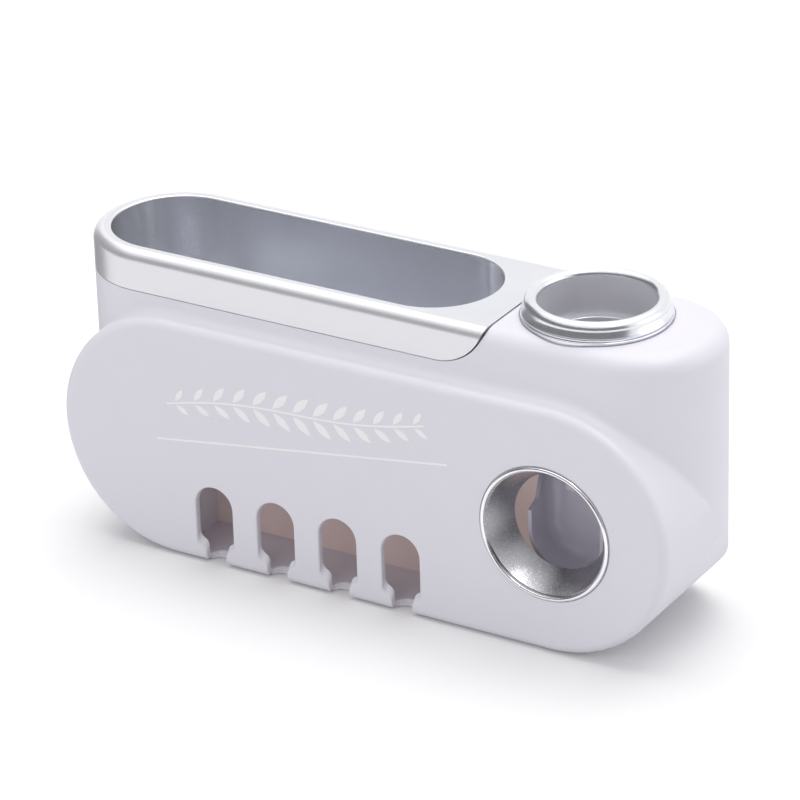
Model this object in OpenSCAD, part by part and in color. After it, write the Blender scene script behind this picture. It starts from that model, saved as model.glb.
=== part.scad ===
// Wall-mounted toothbrush holder with a storage tray and a push-lever toothpaste pump.
// Millimetres, +Z up, +X to the right seen from the front, -Y towards the user.
// The origin lies on the wall, at the middle of the wall plate's adhesive face.

/* [Body] */
// Length of the body
body_len = 249; // [240:1:260]
// Depth of the body behind its front wall
body_depth = 61.2; // [60.4:0.1:63]
// Height of the body
body_h = 112.4; // [110:0.2:118]
// Wall of the body shell
wall = 2.4; // [2:0.1:2.6]
// Rounding along the body's top edge
top_round = 7; // [5:0.5:8]

/* [Front face] */
// Height of the raised front face, which is also the height of its round ends
face_h = 92.2; // [90:0.2:95]
// How far the front face stands proud of the body
face_proud = 8.2; // [7:0.1:10]
// How far the face's left end stays inside the body's left end
face_inset = 2.5; // [0:0.5:4]
// Rounding along the front face's edge
face_round = 3.5; // [3:0.5:4]

/* [Storage tray] */
// Height of the tray's band on the outside
band_h = 14.6; // [13:0.2:18]
// Distance from the body's right end to the tray's right edge
tray_inset = 73.1; // [72:0.1:80]
// Radius of the band's lower right corner
band_corner_r = 20; // [17:1:24]
// Rounding along the tray's top edge
tray_round = 4; // [3:0.5:5]
// Width of the rim round the tray's mouth
rim_w = 6.5; // [6:0.1:7.5]
// Width of the flat land right of the tray's mouth
land_w = 13; // [11:0.5:20]
// Height of the tub's underside above the brush chamber
tub_lift = 7.3; // [6:0.1:20]
// Wall of the tray
tray_wall = 1.6; // [1.2:0.1:1.8]
// Gap between the tray and the body round it
tray_gap = 0.4; // [0.3:0.05:0.6]

/* [Toothbrush slots] */
// Most slots that the row may have
most_slots = 4; // [1:1:6]
// Distance from one slot to the next
slot_pitch = 25.9; // [24:0.1:27]
// Distance from the body's left end to the first slot
slot_first = 66.5; // [64:0.5:70]
// Least distance from the last slot to the dispenser's axis
slot_room = 50; // [48:1:56]
// Width of a slot for the brush head
slot_w = 15.4; // [14:0.2:16.4]
// Width of the slot's neck for the brush's neck
neck_w = 8.2; // [7:0.2:9]
// Height of a slot above the body's base
slot_h = 30.8; // [28:0.2:34]
// Height of the slot's neck above the body's base
neck_h = 5.6; // [4.6:0.2:7]
// Depth of the brush chamber behind the front face
chamber_depth = 26; // [22:0.5:27]
// Height of the brush chamber above the body's base
chamber_h = 41.5; // [38:0.5:43]

/* [Dispenser openings] */
// Distance from the body's right end to the dispenser's axis
dispenser_inset = 46.8; // [46:0.1:48]
// Outer radius of the front funnel's lip
lip_r = 25; // [24:0.2:26]
// Radius of the funnel's throat
throat_r = 18; // [16:0.2:18.4]
// Depth of the throat behind the front face
throat_depth = 11.5; // [10:0.1:12]
// Distance from the body's front wall to the tube collar's flange
collar_margin = 4.2; // [3.6:0.1:4.6]
// How far the collar's flange stands out past its rolled rim
flange_step = 1.2; // [0.8:0.1:2]
// Width of the collar's rolled rim
collar_w = 4.8; // [4.2:0.2:6]
// Height of the tube collar above the body
collar_h = 7.3; // [6.8:0.1:9]
// Length of the tube collar's sleeve below the top
sleeve_len = 20; // [14:0.5:26]

/* [Pump] */
// Radius of the bore that grips the toothpaste tube's neck
tube_neck_r = 6.25; // [5.5:0.05:6.6]
// Radius of the pump chamber
pump_r = 9; // [8.6:0.1:9.4]
// Height of the pump block
block_h = 10; // [9:0.5:10.5]
// Height of the pump block's underside above the funnel's axis
block_rise = 14; // [13.8:0.1:15]
// Distance from the lever's pin back to its nose
arm_len = 14; // [13.5:0.1:14.5]
// Widest swing of the lever, in degrees
lever_swing = 18; // [10:1:18]
// Radius of the lever's pin
pin_r = 1.5; // [1.2:0.1:1.7]
// Wall of the lever's scoop
scoop_wall = 1.4; // [1.2:0.1:1.8]

/* [Back] */
// Width of the rear cover
cover_w = 172; // [150:1:176]
// Distance from the tray's band down to the rear cover
cover_margin = 6.1; // [5:0.1:10]
// Thickness of the rear cover
cover_t = 2; // [1.6:0.1:2.1]
// Width of the wall plate
plate_w = 110; // [96:1:120]
// Height of the wall plate
plate_h = 46; // [42:1:50]
// Thickness of the wall plate
plate_t = 2.4; // [2:0.1:3]
// Thickness of the adhesive pad
pad_t = 1; // [0.8:0.1:1.5]

/* [Hidden] */
$fn = 96;

// Overrun of every cut past the face that it goes through
over = 1;
// Gap between flat or round faces of pieces that sit in each other
seat_gap = 0.1;
// Gap between pieces that move past each other
run_gap = 0.3;

// Colours, as the object shows them
shell_colour = [0.86, 0.85, 0.90];
silver_colour = [0.74, 0.75, 0.77];
beige_colour = [0.80, 0.70, 0.66];
silicone_colour = [0.93, 0.93, 0.91];
paddle_colour = [0.72, 0.69, 0.77];
steel_colour = [0.62, 0.63, 0.65];
pad_colour = [0.90, 0.92, 0.93];

// Planes and centres of the body
plate_gap = 0.6;
back_y = -(pad_t + plate_t + plate_gap);
end_r = body_depth / 2;
mid_y = back_y - end_r;
wall_y = back_y - body_depth;
face_y = wall_y - face_proud;
end_x = body_len / 2;
top_z = body_h / 2;
base_z = -top_z;
face_r = face_h / 2;
face_z = base_z + face_r;
face_len = body_len - face_inset;
face_mid_x = face_inset / 2;
inner_round = top_round - wall;
face_inner_round = face_round - wall;

// Tray
band_z = top_z - band_h;
tray_right_x = end_x - tray_inset;
corner_x = tray_right_x - band_corner_r;
corner_z = band_z + band_corner_r;
plate_thick = 2;
mouth_r = end_r - rim_w;
mouth_start_x = -end_x + rim_w;
mouth_end_x = tray_right_x - land_w;

// Toothbrush slots and the chamber behind them
disp_x = end_x - dispenser_inset;
slot_x0 = -end_x + slot_first;
slot_count = min(most_slots, floor((disp_x - slot_room - slot_x0) / slot_pitch) + 1);
slot_r = slot_w / 2;
slot_top_z = base_z + slot_h;
neck_r = neck_w / 2;
neck_top_z = base_z + neck_h;
notch_r = neck_r;
notch_shift = 1;
rib_t = 2;
chamber_margin = 16;
chamber_left_x = slot_x0 - chamber_margin;
chamber_right_x = slot_x0 + (slot_count - 1) * slot_pitch + chamber_margin;
chamber_y = face_y + chamber_depth;
chamber_z = base_z + chamber_h;
tub_floor_z = chamber_z + rib_t + tub_lift + tray_wall;
tub_depth = top_z - tub_floor_z;

// Dispenser axis
funnel_drop = 0.6;
disp_z = face_z - funnel_drop;
lip_h = 0.8;
lip_w = 1.4;
funnel_wall = 1.4;
funnel_seat_r = lip_r - lip_w;
flange_r = end_r - collar_margin;
rim_r = flange_r - flange_step;
collar_bore_r = rim_r - collar_w;
collar_wall = 1.9;
collar_waist = 0.6;
collar_foot_share = 2 / 7;
sleeve_r = collar_bore_r + collar_wall;
ledge_w = 2.4;
ledge_h = 10.7;

// Pump, in heights above the funnel's axis and depths behind the front face
cup_wall = 1.6;
cup_r = sleeve_r + seat_gap + cup_wall;
cup_floor_t = 2.5;
cup_z = disp_z + block_rise + block_h;
cup_top_z = top_z - wall - seat_gap;
socket_wall = 2.8;
socket_h = 6.5;
sleeve_wall = 2.85;
sleeve_outer_r = tube_neck_r + sleeve_wall;
sleeve_flange_t = 1.5;
sleeve_lip_t = 1.5;
sleeve_hole_r = 3.7;
block_margin = 3;
block_r = cup_r - block_margin;
block_z = disp_z + block_rise;
pump_margin = 3.8;
pump_y = mid_y + block_r - pump_r - pump_margin;
pump_stroke = arm_len * sin(lever_swing);
roof_margin = 1.7;
pump_roof = pump_stroke + roof_margin;
roof_z = block_z + pump_roof;
valve_shift = 2.2;
valve_y = mid_y + valve_shift;
valve_cap_r = 2.3;
valve_cap_t = 0.7;
valve_stem_r = 0.6;
valve_port_r = 0.6;
valve_port_ring = 1.5;
valve_knob_r = 1.1;
valve_knob_h = 0.9;
nozzle_margin = 4.7;
nozzle_y = mid_y - block_r + nozzle_margin;
nozzle_r = 4;
nozzle_bore_r = 2.6;
nozzle_flange_r = 5.2;
nozzle_flange_t = 1.4;
nozzle_len = 5.4;
nozzle_depth = 2;
duct_r = 1.5;
duct_z = block_z + nozzle_depth + duct_r;
duckbill_len = 3.4;
duckbill_drop = 0.9;
duckbill_tip = 0.5;
duckbill_slit = 0.2;
duckbill_angle = 42;
duckbill_bore_share = 0.6;

diaphragm_t = 1.2;
diaphragm_skin = 1;
diaphragm_lap = 1.4;
diaphragm_step = 2;
diaphragm_slope = 2.2;
diaphragm_flange_r = pump_r + diaphragm_lap;
diaphragm_skirt_r = pump_r - diaphragm_step;
diaphragm_tip_r = diaphragm_skirt_r - diaphragm_slope;
diaphragm_drop = 5;
tip_z = block_z - diaphragm_drop;
ring_lap = 3.6;
ring_r = diaphragm_flange_r + ring_lap;
ring_h = 2.8;
ring_hole_r = diaphragm_skirt_r + run_gap + seat_gap;
ring_screw_x = ring_r - ring_lap / 2;

button_r = 4;
button_t = 1.6;
button_gap = 0.2;
button_z = tip_z - button_gap - button_t;
nose_r = 2;
nose_z = button_z - run_gap - nose_r;
hinge_y = pump_y - arm_len;
hinge_rise = 2.1;
hinge_z = nose_z + hinge_rise;
hub_wall = 1.7;
hub_r = pin_r + hub_wall;
pin_fit = 0.06;
nose_len = 10;
arm_t = 3;

// Scoop of the lever
scoop_margin = 6.2;
scoop_r = block_r - scoop_margin;
scoop_w = 2 * scoop_r;
scoop_shift = 3;
scoop_back_y = hinge_y - scoop_shift;
scoop_gap = 3.5;
scoop_front_y = face_y + throat_depth + scoop_gap;
scoop_len = scoop_back_y - scoop_front_y;
scoop_drop = 5;
scoop_z = disp_z - scoop_drop;
scoop_rise = 3;
scoop_top_z = hinge_z + scoop_rise;
// Wing of the chamber's back wall beside the scoop
wing_gap = 1.4;
wing_w = 20;
wing_x = disp_x - scoop_r - wing_gap;
wing_z = block_z - wing_gap;
// Front edge of the scoop's cheeks, as depths and heights from the cheek's lower front corner
cheek_step_shares = [[0, 0.27], [0.33, 0.42], [0.53, 0.93], [0.53, 1.4]];

ear_t = 3;
ear_gap = 0.4;
ear_wall = 2.1;
ear_r = pin_r + ear_wall;
ear_x = scoop_r + ear_gap;
pin_head_rim = 1.1;
pin_head_r = pin_r + pin_head_rim;
pin_head_t = 1;
clip_t = 0.6;
clip_gap = 0.1;
pin_tail = 0.6;

// Return spring inside the pump chamber
spring_wire_r = 0.35;
spring_r = 3;
spring_turns = 5;
spring_sides = 6;
spring_steps = 16;
spring_z0 = tip_z + diaphragm_skin + spring_wire_r + seat_gap;
spring_z1 = roof_z - spring_wire_r - seat_gap;

// Screws
screw_r = 1.25;
screw_fit = 0.05;
screw_head_r = 2.3;
screw_head_h = 1.5;
small_screw_r = 0.8;
small_head_r = 1.5;
small_head_h = 1.2;
small_screw_len = 5;
block_screw_margin = 3;
block_screw_x = block_r - block_screw_margin;
block_screw_shift = 3.7;
block_screw_y = mid_y + block_screw_shift;
boss_r = 2.9;
boss_h = 4.5;
boss_floor = 1;

// Rear cover
cover_gap = 0.2;
cover_r = 8;
cover_rise = 7.7;
cover_h = body_h - band_h - cover_rise - cover_margin;
cover_z = base_z + cover_rise + cover_h / 2;
cover_y = back_y - cover_t;
post_r = 3.2;
post_len = 10;
post_inset = 6;
post_z = cover_z - cover_h / 2 + post_inset;
post_xs = [-cover_w / 2 + post_inset, 0, cover_w / 2 - post_inset];
cover_screw_len = 8;
tab_w = 14;
tab_t = 1.2;
tab_rise = 4;
tab_y = back_y - wall - run_gap - tab_t;
tab_xs = [-cover_w / 3, 0, cover_w / 3];

// Wall plate and its two hooks
plate_corner_r = 8;
pad_margin = 3;
hook_x = 32;
hook_w = 10;
hook_t = 1.8;
hook_neck_h = 3;
hook_rise = 7;
hook_z = 18;
hook_side_gap = 1;

// A long round-ended block with its upper edge rounded, standing on z = 0 and centred on x = 0.
module round_block(len, r, h, round) {
    shift = len / 2 - r;
    for (side = [-1, 1])
        translate([side * shift, 0, 0])
            rotate_extrude() {
                square([r, h - round]);
                square([r - round, h]);
                translate([r - round, h - round]) circle(round);
            }
    translate([-shift, 0, 0])
        rotate([90, 0, 90])
            linear_extrude(2 * shift) {
                translate([-r, 0]) square([2 * r, h - round]);
                translate([-(r - round), 0]) square([2 * (r - round), h]);
                for (side = [-1, 1])
                    translate([side * (r - round), h - round]) circle(round);
            }
}

// A long round-ended block with plain edges, standing on z = 0 and centred on x = 0.
module plain_block(len, r, h) {
    shift = len / 2 - r;
    for (side = [-1, 1])
        translate([side * shift, 0, 0]) cylinder(h = h, r = r);
    translate([-shift, -r, 0]) cube([2 * shift, 2 * r, h]);
}

// A plate in the XZ plane with round corners, its front at y = 0, t thick towards +Y.
module upright_plate(w, h, t, r) {
    rotate([90, 0, 0])
        translate([0, 0, -t]) {
            translate([-w / 2 + r, -h / 2, 0]) cube([w - 2 * r, h, t]);
            translate([-w / 2, -h / 2 + r, 0]) cube([w, h - 2 * r, t]);
            for (x = [-1, 1], z = [-1, 1])
                translate([x * (w / 2 - r), z * (h / 2 - r), 0]) cylinder(h = t, r = r);
        }
}

// A round bar along X, centred on x = 0.
module bar(len, r) {
    translate([-len / 2, 0, 0]) rotate([0, 90, 0]) cylinder(h = len, r = r);
}

// A round bar from y = 0 towards +Y.
module rod(len, r) {
    rotate([-90, 0, 0]) cylinder(h = len, r = r);
}

// Everything that the body's lower outline leaves: round lower corners and straight sides above.
module lower_outline(inset) {
    r = face_r - inset;
    depth = body_depth + 2 * over;
    shift = end_x - inset - r;
    for (side = [-1, 1])
        translate([side * shift, wall_y - over, face_z]) rod(depth, r);
    translate([-shift, wall_y - over, face_z - r]) cube([2 * shift, depth, 2 * r]);
    translate([-end_x - over, wall_y - over, face_z])
        cube([body_len + 2 * over, depth, top_z - face_z + over]);
}

// The raised face as a solid, set in from its outside by inset.
module face_slab(inset, round) {
    depth = mid_y - face_y - inset;
    translate([face_mid_x, mid_y, face_z])
        rotate([90, 0, 0]) round_block(face_len - 2 * inset, face_r - inset, depth, round);
}

// The whole body as a solid, set in from its outside by inset.
module body_solid(inset, round, face_edge) {
    intersection() {
        translate([0, mid_y, base_z + inset])
            round_block(body_len - 2 * inset, end_r - inset, body_h - 2 * inset, round);
        lower_outline(inset);
    }
    face_slab(inset, face_edge);
}

// The space that belongs to the tray and its band, grown by grow on the sides that meet the body.
module tray_zone(grow) {
    depth = body_depth + 4 * over;
    y = wall_y - 2 * over;
    left_x = -end_x - 2 * over;
    reach = top_z - band_z + 2 * over;
    translate([left_x, y, band_z - grow]) cube([corner_x - left_x, depth, reach + grow]);
    intersection() {
        translate([corner_x, y, corner_z]) rod(depth, band_corner_r + grow);
        translate([corner_x - over, y, band_z - grow])
            cube([band_corner_r + grow + 2 * over, depth, reach + grow]);
    }
    if (corner_z < top_z)
        translate([corner_x - over, y, corner_z])
            cube([tray_right_x + grow - corner_x + over, depth, top_z - corner_z + 2 * over]);
}

// Points along an arc from angle a0 to angle a1 about a centre.
function arc(centre, r, a0, a1, steps = 8) =
    [for (i = [0:steps]) centre + r * [cos(a0 + (a1 - a0) * i / steps), sin(a0 + (a1 - a0) * i / steps)]];

// The right half of a slot's S-shaped shoulder, from the wide part down into the neck.
function shoulder(half, neck, z) =
    let (r = (half - neck) / 2)
    concat(arc([half - r, z + r], r, 0, -90), arc([neck + r, z - r], r, 90, 180));

// One slot as a solid along Y, round at the top and open at the base through a narrow neck.
module slot_cut(depth) {
    z_round = slot_top_z - slot_r;
    half = shoulder(slot_r, neck_r, neck_top_z);
    right = concat([[slot_r, z_round]], half, [[neck_r, base_z - over]]);
    left = [for (i = [len(right) - 1:-1:0]) [-right[i][0], right[i][1]]];
    rotate([90, 0, 0])
        translate([0, 0, -depth])
            linear_extrude(depth) polygon(concat(right, left));
    translate([0, 0, z_round]) rod(depth, slot_r);
}

// Every slot's place along X.
module at_slots() {
    for (i = [0:slot_count - 1])
        translate([slot_x0 + i * slot_pitch, 0, 0]) children();
}

// Ribs inside the shell that make the toothbrush chamber's ends and ceiling.
module chamber_ribs() {
    floor_z = base_z + wall / 2;
    front_y = face_y + wall / 2;
    depth = chamber_y - front_y;
    for (x = [chamber_left_x - rib_t, chamber_right_x])
        translate([x, front_y, floor_z]) cube([rib_t, depth, chamber_z - floor_z]);
    translate([chamber_left_x - rib_t, front_y, chamber_z])
        cube([chamber_right_x - chamber_left_x + 2 * rib_t, depth, rib_t]);
}

// Posts for the rear cover's screws, each on a web from the shell's floor.
module cover_posts() {
    web_t = 2 * screw_r;
    for (x = post_xs) {
        translate([x, cover_y - post_len, post_z]) rod(post_len, post_r);
        translate([x - web_t / 2, cover_y - post_len, base_z + wall / 2])
            cube([web_t, post_len - web_t, post_z - base_z - wall / 2]);
    }
}

module body_shell() {
    color(shell_colour) {
        difference() {
            union() {
                difference() {
                    body_solid(0, top_round, face_round);
                    body_solid(wall, inner_round, face_inner_round);
                }
                chamber_ribs();
                cover_posts();
            }
            tray_zone(tray_gap);
            translate([0, face_y - over, 0]) at_slots() slot_cut(wall + 2 * over);
            translate([0, face_y + wall + notch_shift, base_z - over])
                at_slots() cylinder(h = wall + 2 * over, r = notch_r);
            translate([disp_x, face_y - over, disp_z]) rod(wall + 2 * over, funnel_seat_r + seat_gap);
            translate([disp_x, mid_y, top_z - wall - over])
                cylinder(h = wall + 2 * over, r = sleeve_r + seat_gap);
            translate([0, cover_y, cover_z])
                upright_plate(cover_w + 2 * cover_gap, cover_h + 2 * cover_gap, cover_t + over,
                    cover_r + cover_gap);
            translate([0, back_y - wall - over, cover_z])
                upright_plate(cover_w + 2 * cover_gap, cover_h + 2 * cover_gap, wall - cover_t + over,
                    cover_r + cover_gap);
            for (x = post_xs)
                translate([x, cover_y - post_len + screw_r, post_z])
                    rod(post_len + over, screw_r + screw_fit);
        }
    }
}

module storage_tray() {
    tub_len = mouth_end_x - mouth_start_x;
    tub_x = (mouth_start_x + mouth_end_x) / 2;
    color(silver_colour)
        difference() {
            union() {
                difference() {
                    intersection() {
                        translate([0, mid_y, base_z]) round_block(body_len, end_r, body_h, tray_round);
                        tray_zone(0);
                    }
                    translate([0, mid_y, base_z])
                        plain_block(body_len - 2 * tray_wall, end_r - tray_wall, body_h - plate_thick);
                }
                translate([tub_x, mid_y, tub_floor_z - tray_wall])
                    plain_block(tub_len + 2 * tray_wall, mouth_r + tray_wall,
                        tub_depth + tray_wall - plate_thick / 2);
            }
            translate([tub_x, mid_y, tub_floor_z]) plain_block(tub_len, mouth_r, tub_depth + over);
        }
}

module rear_cover() {
    color(beige_colour)
        difference() {
            union() {
                translate([0, cover_y, cover_z]) upright_plate(cover_w, cover_h, cover_t, cover_r);
                for (x = tab_xs)
                    translate([x - tab_w / 2, tab_y, cover_z + cover_h / 2 - tab_rise]) {
                        cube([tab_w, tab_t, 2 * tab_rise]);
                        cube([tab_w, tab_t + run_gap + wall - cover_t / 2, tab_rise - cover_gap]);
                    }
            }
            for (x = post_xs)
                translate([x, cover_y - over, post_z]) rod(cover_t + 2 * over, screw_r + screw_fit);
            for (x = [-hook_x, hook_x])
                translate([x - hook_w / 2 - hook_side_gap, cover_y - over, hook_z - hook_rise - hook_neck_h])
                    cube([hook_w + 2 * hook_side_gap, cover_t + 2 * over,
                        hook_rise + 2 * hook_neck_h - hook_neck_h / 2 + run_gap]);
        }
}

// A pan-head screw along +Y, its head's underside at y = 0 and its shank towards -Y.
module screw(len, r, head_r, head_h) {
    rod(head_h, head_r);
    translate([0, -len, 0]) rod(len, r);
}

module cover_screws() {
    color(steel_colour)
        for (x = post_xs)
            translate([x, back_y, post_z]) screw(cover_screw_len, screw_r, screw_head_r, screw_head_h);
}

// Back wall of the toothbrush chamber, which runs on to a taller wing beside the lever.
module chamber_back() {
    left_x = chamber_left_x - rib_t;
    floor_z = base_z + wall;
    color(beige_colour) {
        translate([left_x, chamber_y, floor_z])
            cube([wing_x - left_x, rib_t, chamber_z + rib_t - floor_z]);
        translate([wing_x - wing_w, chamber_y, floor_z]) cube([wing_w, rib_t, wing_z - floor_z]);
    }
}

module front_funnel() {
    back_r = throat_r + funnel_wall;
    color(silver_colour)
        translate([disp_x, face_y, disp_z])
            rotate([-90, 0, 0])
                rotate_extrude()
                    polygon([
                        [lip_r, 0],
                        [lip_r, -lip_h / 2],
                        [lip_r - lip_h / 2, -lip_h],
                        [funnel_seat_r + lip_h / 2, -lip_h],
                        [funnel_seat_r, -lip_h / 2],
                        [throat_r, throat_depth],
                        [back_r, throat_depth],
                        [funnel_seat_r, wall + lip_w],
                        [funnel_seat_r, 0]
                    ]);
}

module tube_collar() {
    bead_r = (rim_r - collar_bore_r) / 3;
    foot_h = collar_h * collar_foot_share;
    waist_r = rim_r - collar_waist;
    color(silver_colour)
        translate([disp_x, mid_y, top_z])
            rotate_extrude() {
                translate([collar_bore_r, -sleeve_len]) square([collar_wall, sleeve_len + foot_h]);
                translate([collar_bore_r - ledge_w, -sleeve_len])
                    square([ledge_w + collar_wall, ledge_h]);
                translate([collar_bore_r, 0]) square([flange_r - collar_bore_r, foot_h]);
                translate([collar_bore_r, 0])
                    square([waist_r - collar_bore_r, collar_h - bead_r]);
                translate([collar_bore_r, collar_h - 2 * bead_r])
                    square([rim_r - collar_bore_r, bead_r]);
                translate([collar_bore_r + bead_r, collar_h - 2 * bead_r])
                    square([rim_r - collar_bore_r - 2 * bead_r, 2 * bead_r]);
                for (r = [collar_bore_r + bead_r, rim_r - bead_r])
                    translate([r, collar_h - bead_r]) circle(bead_r);
            }
}

// Places of the two screws that hold the pump block under the cup.
module at_block_screws() {
    for (side = [-1, 1])
        translate([disp_x + side * block_screw_x, block_screw_y, 0]) children();
}

module tube_cup() {
    socket_r = sleeve_outer_r + seat_gap;
    color(shell_colour)
        difference() {
            union() {
                difference() {
                    translate([disp_x, mid_y, cup_z]) cylinder(h = cup_top_z - cup_z, r = cup_r);
                    translate([disp_x, mid_y, cup_z + cup_floor_t])
                        cylinder(h = cup_top_z - cup_z, r = cup_r - cup_wall);
                }
                translate([disp_x, mid_y, cup_z])
                    cylinder(h = cup_floor_t + socket_h, r = socket_r + socket_wall);
                translate([0, 0, cup_z]) at_block_screws() cylinder(h = cup_floor_t + boss_h, r = boss_r);
            }
            translate([disp_x, mid_y, cup_z - over])
                cylinder(h = cup_floor_t + socket_h + 2 * over, r = socket_r);
            translate([0, 0, cup_z - over])
                at_block_screws()
                    cylinder(h = cup_floor_t + boss_h + over - boss_floor, r = screw_r + screw_fit);
        }
}

module neck_sleeve() {
    height = cup_floor_t + socket_h;
    color(silicone_colour)
        translate([disp_x, mid_y, cup_z])
            difference() {
                union() {
                    cylinder(h = height + sleeve_flange_t, r = sleeve_outer_r);
                    translate([0, 0, height])
                        cylinder(h = sleeve_flange_t, r = sleeve_outer_r + socket_wall);
                }
                translate([0, 0, sleeve_lip_t])
                    cylinder(h = height + sleeve_flange_t, r = tube_neck_r);
                translate([0, 0, -over]) cylinder(h = sleeve_lip_t + 2 * over, r = sleeve_hole_r);
            }
}

// The two ears under the pump block that carry the lever's pin.
module hinge_ears() {
    for (side = [-1, 1])
        translate([disp_x + side * (ear_x + ear_t / 2), hinge_y, 0]) {
            translate([0, 0, hinge_z]) bar(ear_t, ear_r);
            translate([-ear_t / 2, -ear_r, hinge_z])
                cube([ear_t, 2 * ear_r, block_z + pump_roof / 2 - hinge_z]);
        }
}

module pump_block() {
    color(shell_colour)
        difference() {
            union() {
                translate([disp_x, mid_y, block_z]) cylinder(h = block_h, r = block_r);
                hinge_ears();
            }
            translate([disp_x, pump_y, block_z - over]) cylinder(h = pump_roof + over, r = pump_r);
            translate([disp_x, valve_y, block_z]) {
                cylinder(h = block_h + over, r = valve_stem_r + screw_fit);
                for (a = [45:90:315])
                    rotate([0, 0, a])
                        translate([valve_port_ring, 0, 0]) cylinder(h = block_h + over, r = valve_port_r);
            }
            translate([disp_x, nozzle_y, block_z - over])
                cylinder(h = nozzle_depth + over, r = nozzle_r + screw_fit);
            translate([disp_x, nozzle_y, block_z]) cylinder(h = nozzle_depth + duct_r, r = nozzle_bore_r);
            translate([disp_x, nozzle_y, duct_z]) rod(pump_y - pump_r - nozzle_y + over, duct_r);
            translate([0, 0, block_z - over])
                at_block_screws() cylinder(h = block_h + 2 * over, r = screw_r + screw_fit);
            for (side = [-1, 1])
                translate([disp_x + side * ring_screw_x, pump_y, block_z - over])
                    cylinder(h = small_screw_len - ring_h + boss_floor + over, r = small_screw_r + screw_fit);
            translate([disp_x, hinge_y, hinge_z]) bar(2 * (ear_x + ear_t + over), pin_r + screw_fit);
        }
}

module block_screws() {
    len = block_h + cup_floor_t + boss_h - 2 * boss_floor;
    color(steel_colour)
        translate([0, 0, block_z])
            at_block_screws() rotate([-90, 0, 0]) screw(len, screw_r, screw_head_r, screw_head_h);
}

module inlet_valve() {
    color(silicone_colour)
        translate([disp_x, valve_y, roof_z]) {
            translate([0, 0, -valve_cap_t]) cylinder(h = valve_cap_t, r = valve_cap_r);
            cylinder(h = block_h - pump_roof + valve_knob_h, r = valve_stem_r);
            translate([0, 0, block_h - pump_roof]) cylinder(h = valve_knob_h, r = valve_knob_r);
        }
}

module pump_diaphragm() {
    color(silicone_colour)
        translate([disp_x, pump_y, block_z])
            rotate_extrude()
                polygon([
                    [diaphragm_flange_r, 0],
                    [diaphragm_flange_r, -diaphragm_t],
                    [diaphragm_skirt_r, -diaphragm_t],
                    [diaphragm_tip_r, -diaphragm_drop],
                    [0, -diaphragm_drop],
                    [0, -diaphragm_drop + diaphragm_skin],
                    [diaphragm_tip_r - diaphragm_skin, -diaphragm_drop + diaphragm_skin],
                    [diaphragm_skirt_r - diaphragm_skin, 0]
                ]);
}

module diaphragm_ring() {
    color(shell_colour)
        difference() {
            translate([disp_x, pump_y, block_z - ring_h]) cylinder(h = ring_h, r = ring_r);
            translate([disp_x, pump_y, block_z - ring_h - over])
                cylinder(h = ring_h + 2 * over, r = ring_hole_r);
            translate([disp_x, pump_y, block_z - diaphragm_t])
                cylinder(h = diaphragm_t + over, r = diaphragm_flange_r + seat_gap);
            for (side = [-1, 1])
                translate([disp_x + side * ring_screw_x, pump_y, block_z - ring_h - over])
                    cylinder(h = ring_h + 2 * over, r = small_screw_r + screw_fit);
        }
}

module ring_screws() {
    color(steel_colour)
        for (side = [-1, 1])
            translate([disp_x + side * ring_screw_x, pump_y, block_z - ring_h])
                rotate([-90, 0, 0]) screw(small_screw_len, small_screw_r, small_head_r, small_head_h);
}

// The spring's wire, swept along a helix with flat turns at both ends.
module return_spring() {
    rings = spring_turns * spring_steps;
    centres = [for (i = [0:rings]) [
        spring_r * cos(360 * i / spring_steps),
        spring_r * sin(360 * i / spring_steps),
        spring_z0 + (spring_z1 - spring_z0) * i / rings
    ]];
    points = [for (i = [0:rings], j = [0:spring_sides - 1])
        let (a = 360 * i / spring_steps, b = 360 * j / spring_sides, r = spring_wire_r * cos(b))
        centres[i] + [r * cos(a), r * sin(a), spring_wire_r * sin(b)]];
    sides = [for (i = [0:rings - 1], j = [0:spring_sides - 1])
        let (k = (j + 1) % spring_sides, n = i * spring_sides, m = n + spring_sides)
        each [[n + j, n + k, m + k], [n + j, m + k, m + j]]];
    caps = [
        [for (j = [spring_sides - 1:-1:0]) j],
        [for (j = [0:spring_sides - 1]) rings * spring_sides + j]
    ];
    color(steel_colour)
        translate([disp_x, pump_y, 0]) polyhedron(points, concat(sides, caps));
}

module pump_button() {
    color(shell_colour)
        translate([disp_x, pump_y, button_z]) cylinder(h = button_t, r = button_r);
}

module nozzle() {
    color(shell_colour)
        translate([disp_x, nozzle_y, block_z])
            difference() {
                union() {
                    translate([0, 0, -nozzle_len]) cylinder(h = nozzle_len + nozzle_depth, r = nozzle_r);
                    translate([0, 0, -nozzle_flange_t]) cylinder(h = nozzle_flange_t, r = nozzle_flange_r);
                }
                translate([0, 0, -nozzle_len - over])
                    cylinder(h = nozzle_len + nozzle_depth + 2 * over, r = nozzle_bore_r);
            }
}

// A duckbill: a short tube whose lower end is pinched to a wedge with a slit.
module outlet_valve() {
    r = nozzle_bore_r - seat_gap;
    bore = r * duckbill_bore_share;
    reach = 2 * (r + over);
    color(silicone_colour)
        translate([disp_x, nozzle_y, block_z - nozzle_len - duckbill_drop])
            difference() {
                cylinder(h = duckbill_len, r = r);
                for (side = [-1, 1])
                    translate([side * duckbill_tip, -r - over, 0])
                        rotate([0, side * duckbill_angle, 0])
                            translate([side > 0 ? 0 : -reach, 0, -reach / 2]) cube([reach, reach, reach]);
                translate([0, 0, duckbill_len / 2]) cylinder(h = duckbill_len, r = bore);
                translate([-duckbill_slit / 2, -bore, -over]) cube([duckbill_slit, 2 * bore, duckbill_len]);
            }
}

// The scoop's outline as a solid along Y: straight sides and a round lower end.
module scoop_solid(r, depth) {
    translate([disp_x, 0, scoop_z]) {
        rod(depth, r);
        translate([-r, 0, 0]) cube([2 * r, depth, scoop_top_z - scoop_z]);
    }
}

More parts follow.
